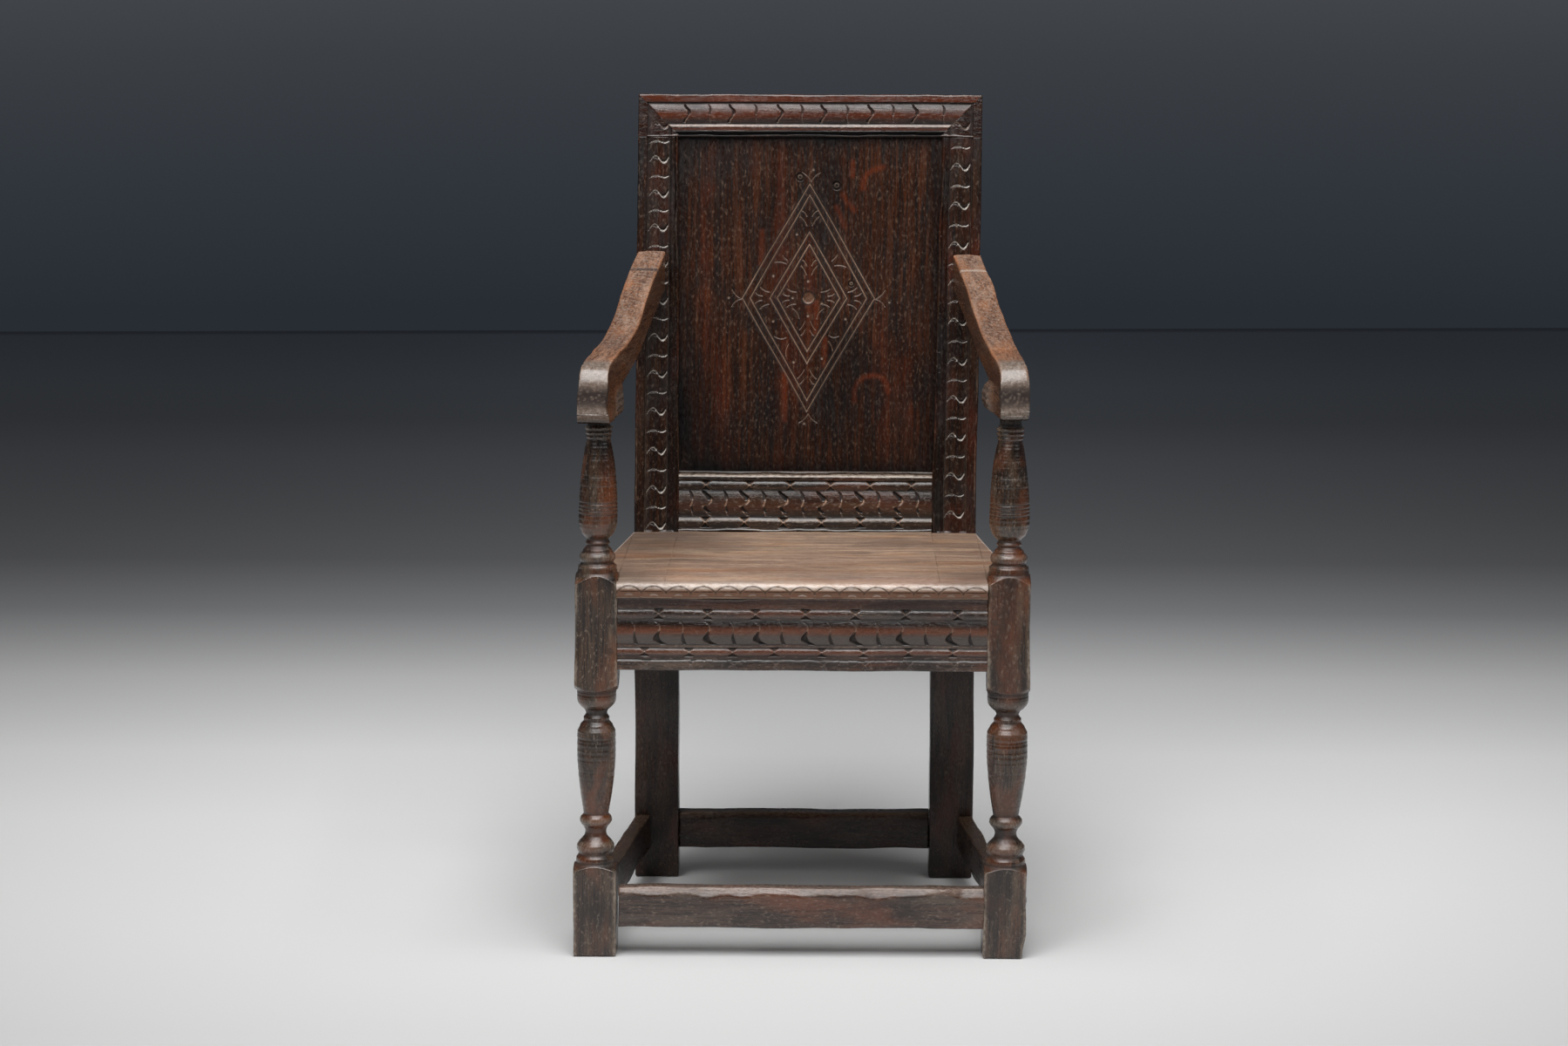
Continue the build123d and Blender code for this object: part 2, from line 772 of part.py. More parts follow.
with BuildPart() as lower_back_rail:
    with BuildSketch(lower_rail_section):
        with BuildLine():
            first, last = lower_rail_bands[0][0], lower_rail_bands[-1][1]
            Polyline(
                (-rail_quirk_depth, lower_rail_top - last),
                (-rail_quirk_depth, 0),
                (-lower_rail_thickness, 0),
                (-lower_rail_thickness, lower_rail_top),
                (-lower_rail_bevel, lower_rail_top),
                (0, lower_rail_top - lower_rail_bevel),
                (0, lower_rail_top - lower_rail_fascia),
                (-rail_quirk_depth, lower_rail_top - first),
            )
            banded_face(lower_rail_top, lower_rail_bands)
        make_face()
    extrude(amount=2 * back_inner_x)
    split(bisect_by=seat_clear, keep=Keep.TOP)
    add(tenon_pair(lower_rail_joint))
    add(panel_slot.part, mode=Mode.SUBTRACT)
    add(lower_rail_holes, mode=Mode.SUBTRACT)

front_rail_section = Plane(
    origin=(front_inner_x, front_y + front_rail_recess, 0), x_dir=(0, -1, 0), z_dir=(-1, 0, 0)
)
front_rail_holes = peg_holes_across("pegs_front_rail")

with BuildPart() as front_seat_rail:
    with BuildSketch(front_rail_section):
        with BuildLine():
            first, last = front_rail_bands[0][0], front_rail_bands[-1][1]
            Polyline(
                (-rail_quirk_depth, seat_bottom - last),
                (-rail_quirk_depth, seat_bottom - front_rail_lower_fascia),
                (0, seat_bottom - front_rail_lower_fascia),
                (0, front_rail_bottom),
                (-front_rail_thickness, front_rail_bottom),
                (-front_rail_thickness, seat_bottom),
                (-front_rail_fascia_depth, seat_bottom),
                (-rail_quirk_depth, seat_bottom - first),
            )
            banded_face(seat_bottom, front_rail_bands)
        make_face()
    extrude(amount=2 * front_inner_x)
    add(tenon_pair(front_rail_joint))
    add(front_rail_holes, mode=Mode.SUBTRACT)

# ---------------------------------------------------------------- plain rails


def cross_rail(half_length, front, thickness, bottom, height, joint, *pegs):
    """A plain rail across the chair, tenoned at both ends."""
    holes = peg_holes_across(*pegs)
    with BuildPart() as rail:
        with BuildSketch(Plane.XY.offset(bottom)):
            with Locations((0, front + thickness / 2)):
                Rectangle(2 * half_length, thickness)
        extrude(amount=height)
        fillet(rail.edges().filter_by(Axis.X), rail_edge_radius)
        add(tenon_pair(joint))
        if holes:
            add(holes, mode=Mode.SUBTRACT)
    return rail.part


def side_rail(thickness, bottom, height, joints, *pegs):
    """A plain rail along the splayed right side, tenoned into both posts."""
    inner = thickness / side_cos
    with BuildPart() as rail:
        with BuildSketch(Plane.XY.offset(bottom)):
            with BuildLine():
                Polyline(
                    (side_front_x, front_rear_y), (side_rear_x, back_y),
                    (side_rear_x - inner, back_y), (side_front_x - inner, front_rear_y),
                    close=True,
                )
            make_face()
        extrude(amount=height)
        along = rail.edges().filter_by(lambda edge: edge.length > side_run - 1)
        fillet(along, rail_edge_radius)
        add([tenon_of(joint) for joint in joints])
        add(peg_holes(*pegs), mode=Mode.SUBTRACT)
    return rail.part


with BuildPart() as rear_seat_rail:
    add(
        cross_rail(
            back_inner_x, back_y + rear_rail_recess, rear_rail_thickness, rear_rail_bottom,
            rear_rail_height, rear_rail_joint, "pegs_rear_rail",
        )
    )

with BuildPart() as front_stretcher:
    add(
        cross_rail(
            front_inner_x, front_y + front_stretcher_recess, front_stretcher_thickness,
            front_stretcher_bottom, front_stretcher_height, front_stretcher_joint,
        )
    )

with BuildPart() as rear_stretcher:
    add(
        cross_rail(
            back_inner_x, back_y + rear_stretcher_recess, rear_stretcher_thickness,
            rear_stretcher_bottom, rear_stretcher_height, rear_stretcher_joint,
            "pegs_rear_stretcher",
        )
    )

with BuildPart() as side_seat_rail_right:
    add(
        side_rail(
            side_rail_thickness, side_rail_bottom, side_rail_height,
            (side_rail_front_joint, side_rail_rear_joint),
            "pegs_side_rails_front", "pegs_side_rails_rear",
        )
    )

with BuildPart() as side_seat_rail_left:
    add(mirror(side_seat_rail_right.part, about=Plane.YZ))

with BuildPart() as side_stretcher_right:
    add(
        side_rail(
            side_stretcher_thickness, side_stretcher_bottom, side_stretcher_height,
            (side_stretcher_front_joint, side_stretcher_rear_joint),
            "pegs_side_stretchers_front", "pegs_side_stretchers_rear",
        )
    )

with BuildPart() as side_stretcher_left:
    add(mirror(side_stretcher_right.part, about=Plane.YZ))

# ---------------------------------------------------------------- seat board
nose_y = front_y - seat_overhang
nose_x = front_inner_x - notch_clearance
behind_post_y = front_rear_y + notch_clearance
behind_post_x = side_front_x - side_slope * notch_clearance
before_stile_y = back_y - notch_clearance
before_stile_x = side_rear_x + side_slope * notch_clearance
tongue_x = back_inner_x - notch_clearance
right_edge = [
    (nose_x, nose_y), (nose_x, behind_post_y), (behind_post_x, behind_post_y),
    (before_stile_x, before_stile_y), (tongue_x, before_stile_y),
    (tongue_x, back_y + seat_tongue),
]
left_edge = [(-x, y) for x, y in reversed(right_edge)]

with BuildPart() as seat_board:
    with BuildSketch(Plane.XY.offset(seat_bottom)):
        with BuildLine():
            Polyline(*right_edge, *left_edge, close=True)
        make_face()
    extrude(amount=seat_thickness)
    nose_edges = seat_board.edges().filter_by(Axis.X).group_by(Axis.Y)[0].sort_by(Axis.Z)
    fillet(nose_edges[-1], nosing_radius)
    under_edge = seat_board.edges().filter_by(Axis.X).group_by(Axis.Z)[0].sort_by(Axis.Y)[0]
    fillet(under_edge, nosing_under_radius)

# ---------------------------------------------------------------- arms
# The arm's side outline in its own upright plane: X back from the post's centre, Y up.
# Its top is two arcs, hollow and then full, that meet at the knee. The hand-hold rolls
# over in front of the post, and a scroll stands behind the post.

arm_beyond = arm_end + 20  # the sawn end, before it is cut to the slope of the back
arm_front = -arm_reach - front_post_size / 2
hand_top = arm_seat_height + hand_height
arm_rise = arm_rear_height - hand_top
knee_along = 0.55 * arm_end
knee_top = hand_top + 0.475 * arm_rise
hollow_along = 0.255 * arm_end
hollow_top = hand_top + 0.14 * arm_rise
scroll_top = arm_seat_height + scroll_height


def arm_outline(sag):
    """The closed side outline with square front corners, its middle lowered by the sag."""
    knee = (knee_along, knee_top - 0.9 * sag)
    knee_under = (knee_along, knee[1] - arm_knee_thickness)
    rear = (arm_beyond, arm_rear_height + 5)
    rear_under = (arm_beyond, rear[1] - arm_rear_thickness)
    heel = (scroll_length - 0.4 * scroll_height, arm_seat_height)
    scroll = (scroll_length - 6, scroll_top)
    scroll_back = (scroll_length, arm_seat_height + 0.55 * scroll_height)
    half_way = (
        (scroll[0] + knee_along) / 2,
        (scroll_top + knee_under[1]) / 2 - 3 - 0.3 * sag,
    )
    hollow = ThreePointArc((arm_front, hand_top - 1), (hollow_along, hollow_top - 0.8 * sag), knee)
    TangentArc(knee, rear, tangent=hollow % 1)
    Line(rear, rear_under)
    under = ThreePointArc(scroll, half_way, knee_under)
    TangentArc(knee_under, rear_under, tangent=under % 1)
    ThreePointArc(heel, scroll_back, scroll)
    Polyline(heel, (arm_front, arm_seat_height), (arm_front, hand_top - 1))


def arm(sag):
    """The right arm, bored for the post's pin and tenoned at the back."""
    with BuildPart() as body:
        with BuildSketch(arm_plane) as side:
            with BuildLine():
                arm_outline(sag)
            make_face()
            fillet(side.vertices().group_by(Axis.X)[0].sort_by(Axis.Y)[0], hand_toe_radius)
            fillet(side.vertices().group_by(Axis.X)[0].sort_by(Axis.Y)[-1], hand_roll_radius)
        extrude(amount=arm_width / 2, both=True)
        top_faces = body.faces().filter_by(lambda face: face.normal_at().Z > 0.5)
        top_edges = top_faces.edges().filter_by(GeomType.CIRCLE)
        chamfer(top_edges, arm_edge_chamfer)
        split(bisect_by=back_face, keep=Keep.TOP)
        add(tenon_of(arm_joint))
        pin_hole = Plane(origin=(front_post_x, front_post_y, arm_seat_height - 1))
        add(
            rod(pin_hole, arm_pin_radius + peg_clearance, arm_pin_length + 1.5),
            mode=Mode.SUBTRACT,
        )
        add(peg_holes("pegs_arms"), mode=Mode.SUBTRACT)
    return body.part


with BuildPart() as arm_right:
    add(arm(right_arm_sag))

with BuildPart() as arm_left:
    add(mirror(arm(left_arm_sag), about=Plane.YZ))

# ---------------------------------------------------------------- pegs


def peg_set(name):
    """All pegs of one joint on both sides, each a little proud of its face."""
    planes = [plane for right in peg_planes[name] for plane in (right, across(right))]
    length = peg_length + peg_proud
    pegs = [riven_peg(plane.offset(-peg_proud), peg_radius, length) for plane in planes]
    return Compound(children=pegs)


# ---------------------------------------------------------------- hand out the parts
boards = {
    "front_post_left": front_post_left,
    "front_post_right": front_post_right,
    "back_post_left": back_post_left,
    "back_post_right": back_post_right,
    "crest_rail": crest_rail,
    "lower_back_rail": lower_back_rail,
    "back_panel": back_panel,
    "front_seat_rail": front_seat_rail,
    "side_seat_rail_left": side_seat_rail_left,
    "side_seat_rail_right": side_seat_rail_right,
    "rear_seat_rail": rear_seat_rail,
    "seat_board": seat_board,
    "arm_left": arm_left,
    "arm_right": arm_right,
    "front_stretcher": front_stretcher,
    "rear_stretcher": rear_stretcher,
    "side_stretcher_left": side_stretcher_left,
    "side_stretcher_right": side_stretcher_right,
}

for name, board in boards.items():
    board.part.label = name
    export_step(board.part, f"parts/{name}.step")

for name in peg_planes:
    pegs = peg_set(name)
    pegs.label = name
    export_step(pegs, f"parts/{name}.step")
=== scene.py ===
from itertools import product
from math import cos, pi, radians, sin, tan

import bmesh
import bpy
import numpy as np
from mathutils import Matrix, Vector

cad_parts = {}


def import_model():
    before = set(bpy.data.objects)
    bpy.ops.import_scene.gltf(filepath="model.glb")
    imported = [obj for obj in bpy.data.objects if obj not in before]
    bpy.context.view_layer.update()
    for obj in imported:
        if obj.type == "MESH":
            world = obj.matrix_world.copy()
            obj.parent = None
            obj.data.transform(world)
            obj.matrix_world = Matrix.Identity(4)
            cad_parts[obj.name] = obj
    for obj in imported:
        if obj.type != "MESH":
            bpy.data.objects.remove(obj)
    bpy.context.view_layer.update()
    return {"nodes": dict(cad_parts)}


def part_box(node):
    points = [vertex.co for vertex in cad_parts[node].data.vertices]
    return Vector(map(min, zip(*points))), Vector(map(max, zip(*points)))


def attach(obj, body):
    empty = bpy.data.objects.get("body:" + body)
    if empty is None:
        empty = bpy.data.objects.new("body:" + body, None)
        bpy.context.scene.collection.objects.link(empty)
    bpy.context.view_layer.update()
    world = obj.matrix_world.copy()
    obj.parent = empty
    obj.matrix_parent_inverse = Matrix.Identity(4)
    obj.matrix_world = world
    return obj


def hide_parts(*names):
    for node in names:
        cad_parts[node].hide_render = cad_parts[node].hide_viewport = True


# A joined oak armchair with a carved, panelled back, on a pale studio floor.
# Sizes are in millimetres in the frame's own axes, and meshes are written in metres.

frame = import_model()
MM = 0.001


def span_of(node):
    """Lowest and highest corner of a node, in millimetres."""
    low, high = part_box(node)
    return np.array(low) / MM, np.array(high) / MM


# ---------------------------------------------------------------- sizes from the frame
seat_bottom, seat_top = (corner[2] for corner in span_of("seat_board"))
front_y = span_of("front_post_right")[0][1]
back_y = span_of("back_post_right")[0][1]
half_front = span_of("front_post_right")[1][0]
half_back = span_of("back_post_right")[1][0]
rake = radians(4.63)
knee_height = 430.0
post_size = 53.0
stile_width = 58.5
stile_top_width = 53.0
stile_depth = 46.0
front_inner = half_front - post_size
back_inner = half_back - stile_width
side_inset_front, side_inset_rear = 18.0, 1.0
side_front_x = half_front - side_inset_front  # the side rails' outer faces, in front and behind
side_rear_x = half_back - side_inset_rear
side_slope = (side_front_x - side_rear_x) / (back_y - front_y - post_size)
side_slant = (1 + side_slope**2) ** 0.5
post_centre_x = half_front - post_size / 2
post_centre_y = front_y + post_size / 2
back_lean = 5.5  # the top of the back has racked this far to the right
foot_rounding = 4.0

# heights up the slope of the back, from the knee
lower_rail_top = 122.0
crest_bottom = 564.0
crest_top = 620.0
seat_line = (seat_top - knee_height) / cos(rake)

sides = (("left", -1), ("right", 1))
chance = np.random.default_rng(1640)


# ---------------------------------------------------------------- small tools
def stack(*parts):
    """Coordinates put together as points."""
    return np.stack(parts, -1)


def waves(points, size, seed, count=26):
    """Smooth irregular ripples of about that wavelength, roughly between -1 and 1."""
    rng = np.random.default_rng(seed)
    directions = rng.normal(size=(3, count))
    directions /= np.linalg.norm(directions, axis=0)
    rates = 2 * pi / (size * rng.uniform(0.65, 1.8, count))
    phases = rng.uniform(0, 2 * pi, count)
    return np.sin(points @ (directions * rates) + phases).sum(-1) * (1.35 / count**0.5)


def wander(points, size, seed):
    """Ripples in all three directions, by which no edge is quite straight."""
    return stack(*(waves(points, size, seed + k) for k in (0, 3, 6)))


def clamp(value):
    """A value held between 0 and 1."""
    return np.clip(value, 0, 1)


def smooth(value, low, high):
    """0 below low, 1 above high, and an eased step between them."""
    t = clamp((value - low) / (high - low))
    return t * t * (3 - 2 * t)


def fade(value, low, high):
    """1 below low, 0 above high, and an eased step between them."""
    return 1 - smooth(value, low, high)


def groove(distance, half_width):
    """1 on a line and 0 beyond its half width."""
    return clamp(1 - np.abs(distance) / half_width)


def bell(value, centre, width):
    """1 at the centre, and a soft fall on both sides."""
    return np.exp(-(((value - centre) / width) ** 2))


def eased_curve(t, values):
    """A smooth curve through values that stand at equal steps of t from 0 to 1."""
    values = np.asarray(values, float)
    padded = np.concatenate([[2 * values[0] - values[1]], values, [2 * values[-1] - values[-2]]])
    place = clamp(t) * (len(values) - 1)
    index = np.minimum(place.astype(int), len(values) - 2)
    f = place - index
    a, b, c, d = (padded[index + k] for k in range(4))
    return b + 0.5 * f * (c - a + f * (2 * a - 5 * b + 4 * c - d + f * (3 * (b - c) + d - a)))


def through(points, at):
    """A smooth line through points that stand at uneven steps."""
    x, y = np.array(points).T
    slope = np.gradient(y, x)
    index = np.clip(np.searchsorted(x, at) - 1, 0, len(x) - 2)
    gap = x[index + 1] - x[index]
    t = (at - x[index]) / gap
    h = t * t * (3 - 2 * t)
    a = t * (1 - t) ** 2 * gap * slope[index]
    b = -t * t * (1 - t) * gap * slope[index + 1]
    return y[index] * (1 - h) + y[index + 1] * h + a + b


def arc(centre, radius, start, end, count):
    """Points on an arc, angles in degrees."""
    angle = np.radians(np.linspace(start, end, count))
    return stack(centre[0] + radius * np.cos(angle), centre[1] + radius * np.sin(angle))


def segment_distance(x, y, start, end):
    """Distance of points from a straight stroke."""
    dx, dy = end[0] - start[0], end[1] - start[1]
    t = clamp(((x - start[0]) * dx + (y - start[1]) * dy) / (dx * dx + dy * dy))
    return np.hypot(x - start[0] - t * dx, y - start[1] - t * dy)


def steps(start, end, spacing):
    """Even stations from start to end, no further apart than the spacing."""
    return np.linspace(start, end, max(2, int(np.ceil(abs(end - start) / spacing)) + 1))


def joined(*parts):
    """Station lists that follow each other, without the doubled ends."""
    first, *others = (np.asarray(part, float) for part in parts)
    return np.concatenate([first, *(part[1:] for part in others)])


def between(places):
    """The middles of the gaps between places."""
    return (places[:-1] + places[1:]) / 2


def drawn_in(from_end, radius):
    """How much a rounded end draws in at a distance from it."""
    gap = np.clip(radius - from_end, 0, radius)
    return radius - np.sqrt(np.maximum(radius**2 - gap**2, 0))


# ---------------------------------------------------------------- meshes
# What the oak reads at each point, from 0 to 1: dark in a cut (grime, and painted shade in
# hollows and creases), worn pale (wear, and painted highlights on lit edges), a painted
# highlight on lit walls (with pale dust), darker (painted shade in some places, stains in
# others), polished by hands with a painted grey sheen, and warmer.
mark_names = ("cut", "worn", "line", "tone", "gloss", "warm")


def placed(name, data):
    """A new object in the scene, for a mesh, a lamp or a camera."""
    made = bpy.data.objects.new(name, data)
    bpy.context.scene.collection.objects.link(made)
    return made


def write_mesh(name, points, quads, fans, marks):
    """A smooth mesh from points in millimetres, with its marks kept as attributes."""
    mesh = bpy.data.meshes.new(name)
    mesh.vertices.add(len(points))
    mesh.vertices.foreach_set("co", (points * MM).astype(np.float32).ravel())
    corners = np.concatenate([quads.ravel(), fans.ravel()]).astype(np.int32)
    fans_start = len(quads) * 4
    starts = [np.arange(len(quads)) * 4, fans_start + np.arange(len(fans)) * 3]
    starts = np.concatenate(starts).astype(np.int32)
    mesh.loops.add(len(corners))
    mesh.loops.foreach_set("vertex_index", corners)
    mesh.polygons.add(len(starts))
    mesh.polygons.foreach_set("loop_start", starts)
    mesh.update(calc_edges=True)
    mesh.validate()
    mesh.polygons.foreach_set("use_smooth", np.ones(len(mesh.polygons), bool))
    for label, values in marks.items():
        values = np.asarray(values, np.float32)
        kind, key = ("FLOAT_VECTOR", "vector") if values.ndim == 2 else ("FLOAT", "value")
        mesh.attributes.new(label, kind, "POINT").data.foreach_set(key, values.ravel())
    return placed(name, mesh)


def tube(name, points, marks):
    """A closed skin over rings of points, with a fan over each end.

    points is stations x around x 3, and each mark is stations x around (x 3).
    """
    stations, around = points.shape[:2]
    index = np.arange(stations * around).reshape(stations, around)
    here, ahead = index[:-1], index[1:]
    quads = stack(here, np.roll(here, -1, 1), np.roll(ahead, -1, 1), ahead).reshape(-1, 4)
    first, last = stations * around, stations * around + 1
    fans = np.concatenate([
        stack(np.full(around, first), np.roll(index[0], -1), index[0]),
        stack(np.full(around, last), index[-1], np.roll(index[-1], -1)),
    ])
    everything = np.concatenate([points.reshape(-1, 3), [points[0].mean(0), points[-1].mean(0)]])
    a, b, c, d = (everything[quads[:, k]] for k in range(4))
    volume = np.einsum("ij,ij->i", a, np.cross(b, c) + np.cross(c, d)).sum()
    if volume < 0:
        quads, fans = quads[:, ::-1], fans[:, ::-1]
    full = {}
    for label, values in marks.items():
        shape = (-1, 3) if values.ndim == 3 else (-1,)
        full[label] = np.concatenate([values.reshape(shape), [values[0].mean(0), values[-1].mean(0)]])
    return write_mesh(name, everything, quads, fans, full)


def box_section(face_steps, side_steps=3, back_steps=4, corner_steps=4):
    """A rectangular ring: shares of width and depth, how each point moves as the corners
    are rounded, and its side. The first side is the face, from 0 to 1 across the width."""
    share, turn, side = [], [], []
    corners = [((0, 0), (1, -1)), ((1, 0), (-1, -1)), ((1, -1), (-1, 1)), ((0, -1), (1, 1))]
    counts = [face_steps, side_steps, back_steps, side_steps]
    for k, (corner, inward) in enumerate(corners):
        start = pi - k * pi / 2
        for step in range(corner_steps + 1):
            angle = start - step / corner_steps * pi / 2
            share.append(corner)
            turn.append((inward[0] + cos(angle), inward[1] + sin(angle)))
            side.append(k - 0.5)
        following, next_inward = corners[(k + 1) % 4]
        last = turn[-1]
        angle = start - pi / 2
        goal = (next_inward[0] + cos(angle), next_inward[1] + sin(angle))
        for step in range(1, counts[k]):
            f = step / counts[k]
            share.append(tuple((1 - f) * p + f * q for p, q in zip(corner, following)))
            turn.append(tuple((1 - f) * p + f * q for p, q in zip(last, goal)))
            side.append(k)
    return np.array(share), np.array(turn), np.array(side)


def worn_radius(along, radius, seed, share=0.55):
    """How round an arris is at each station: worn more in some places than others."""
    line = stack(along, along * 0 + seed * 37.0, along * 0)
    wear = np.clip(waves(line, 90, seed) + 0.4 * waves(line, 23, seed + 1), -1, 2)
    return radius * (1 + share * wear)


def blank(stations, section, wide, deep, radius):
    """Rings of a bar in its own axes: across, out of the face, along."""
    share, turn, _ = section
    along = np.asarray(stations, float)[:, None]
    wide, deep, radius = (np.reshape(size, (-1, 1)) for size in (wide, deep, radius))
    across = share[:, 0] * wide + turn[:, 0] * radius
    out = share[:, 1] * deep + turn[:, 1] * radius
    return across, out, along + 0 * across


def finish_piece(name, points, fibre, marks, material, node):
    """Makes the mesh, gives it its oak and lets it stand for its node.

    fibre is where each point lies in its board: across, out and along the grain.
    """
    offset = chance.uniform(-3000, 3000, 3)
    all_marks = {"fibre": (stack(*fibre) + offset) * MM}
    for label in mark_names:
        all_marks[label] = marks.get(label, np.zeros(points.shape[:2]))
    piece = tube(name, points, all_marks)
    piece.data.materials.append(material)
    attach(piece, "root")
    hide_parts(node)
    return piece


# ---------------------------------------------------------------- carving
# An S cut: how far it wanders from its place along the moulding, at equal steps across it.
stile_line = (-3.4, 2.8, 4.8, 1.4, -3.4, -2.8, 4.8)
stile_small_line = (-2.8, 0.6, 2.4, 1.4, -0.8, -1.2, 2.2)
crest_line = (-3.8, -1.2, 3.4, 3.8, 0.6, -2.8, -4.2)
lower_line = (-5.4, -1.0, 3.6, 5.4, 3.2, -3.0, -3.6, -0.8, 3.2)
front_line = (-3.8, 2.6, 3.6, 0.6, -3.4, -3.2, 4.6)
rail_small_line = (-4.0, 1.0, 2.2, 1.0, -0.6, 0.0, 2.6)
# Hollows beside an S: from and to across the moulding (0-1), from and to beside the line
# in mm, and the tint: below 0 painted shade with grime, above 0 a painted highlight with dust.
stile_look = (
    (-0.1, 0.5, -0.9, 0.7, 0.95), (0.45, 0.96, -0.9, 1.0, 1.0),
    (0.5, 0.95, 1.3, 4.4, -0.5), (0.1, 0.42, -1.0, -3.6, -0.4),
)
crest_look = ((-0.1, 0.55, 0.4, -3.6, -1.0), (0.46, 1.0, 0.0, 2.0, 0.9), (0.5, 0.95, -0.2, -3.0, -0.8))
lower_look = (
    (-0.15, 0.36, 0.6, -5.0, -1.0), (0.26, 0.62, 0.4, -4.4, 1.0),
    (0.5, 0.86, -0.6, 5.0, -1.0), (0.78, 1.05, -1.0, 4.4, 0.9),
)
front_look = ((0.0, 0.55, -1.0, 0.8, 1.0), (0.42, 1.04, -0.4, 7.4, -1.0))


def s_cut(t, offset, line_values, size, look):
    """A gouged S that crosses a moulding, with hollows beside it.

    t runs across the moulding from 0 to 1, offset is the distance along it from the cut.
    Gives the depth of the cut, a painted highlight with dust on its lit wall, and painted shade
    with grime in its hollow.
    """
    away = offset - eased_curve(t, line_values) * (0.35 + 0.65 * size)
    inside = smooth(t, -0.02, 0.05) * fade(t, 0.96, 1.03)
    depth = 0.7 * groove(away, 1.0)
    highlight_and_dust = np.zeros_like(t)
    # the line of the cut itself is painted dark, as shade with grime
    grime_and_shade = 0.5 * groove(away, 0.9)
    for low, high, near, far, tint in look:
        run = smooth(t, low - 0.03, low + 0.2) * fade(t, high - 0.06, high + 0.03)
        far_edge = size * (near + (far - near) * (0.2 + 0.8 * smooth(t, low, low + 0.4)))
        share = (away - size * near) / (far_edge - size * near)
        hollow = smooth(run, 0.05, 0.35) * smooth(share, -0.15, 0.1) * fade(share, 0.85, 1.1)
        steep = 3.8 if tint < 0 else 1.6
        depth = np.maximum(depth, steep * size * hollow * (1.1 - 0.6 * clamp(share)))
        # a dark hollow takes painted shade with grime, a lit wall a painted highlight with dust
        if tint < 0:
            grime_and_shade = np.maximum(grime_and_shade, -tint * hollow)
        else:
            highlight_and_dust = np.maximum(highlight_and_dust, tint * hollow)
            grime_and_shade = grime_and_shade * (1 - hollow)
    return inside * depth, inside * highlight_and_dust, inside * grime_and_shade


def crossed_arcs(v, offset, spread=5.6):
    """Two arcs back to back across a bead: v is -1 at its foot and 1 at its top."""
    gap = 0.5 + spread * np.abs(v) ** 1.5
    inside = fade(np.abs(v), 1.0, 1.15)
    stroke = groove(np.abs(offset) - gap - 0.5, 1.2)
    hollow = fade(np.abs(offset) - gap, -0.9, 0.1) * smooth(np.abs(v), 0.12, 0.3)
    # the stroke is painted as a highlight with dust, and the hollow as shade with grime
    return inside * (0.7 * stroke + 2.8 * hollow), inside * stroke, inside * hollow


def repeat_cut(layers, across, along, places, reach, cutter, strength=1.0, brightness=1.0):
    """Adds one cut at each of its places: depth, painted highlights on walls, painted shade in hollows.
    """
    depth, line, grime_and_shade = layers
    for place in places:
        near = np.abs(along - place) < reach
        cut = cutter(across[near], along[near] - place)
        depth[near] += strength * cut[0]
        line[near] = np.maximum(line[near], brightness * cut[1])
        grime_and_shade[near] = np.maximum(grime_and_shade[near], cut[2])


def carve_waves(t, along, big, small, big_values, small_values, look, size=1.0):
    """Large and small S cuts by turns along a moulding."""
    layers = [np.zeros_like(along) for _ in range(3)]
    for places, values, scale, highlight_and_dust in (
        (big, big_values, size, 1.0), (small, small_values, 0.5 * size, 0.75),
    ):
        def cutter(t, offset):
            return s_cut(t, offset, values, scale, look)

        repeat_cut(layers, t, along, places, 34, cutter, brightness=highlight_and_dust)
    return layers


def carve_crosses(v, along, places, strength=1.0):
    """Back-to-back arcs cut across a bead."""
    layers = [np.zeros_like(along) for _ in range(3)]
    repeat_cut(layers, v, along, places, 9, crossed_arcs, strength)
    return layers


def spaced(start, pitch, stop, jitter, rng):
    """Places along a moulding at about equal pitch, as a carver steps them by eye."""
    count = int(round((stop - start) / pitch)) + 1
    even = start + (stop - start) * np.arange(count) / (count - 1)
    return even + rng.uniform(-jitter, jitter, count)


# ---------------------------------------------------------------- oak
def rgb(colour):
    """A colour written as 0-255 values, as a shader colour."""
    levels = [c / 255 for c in colour]
    return (*[c / 12.92 if c <= 0.04045 else ((c + 0.055) / 1.055) ** 2.4 for c in levels], 1.0)


def darker(colour, share):
    """A shader colour brought down to a share of its strength."""
    return (*(share * c for c in colour[:3]), 1.0)


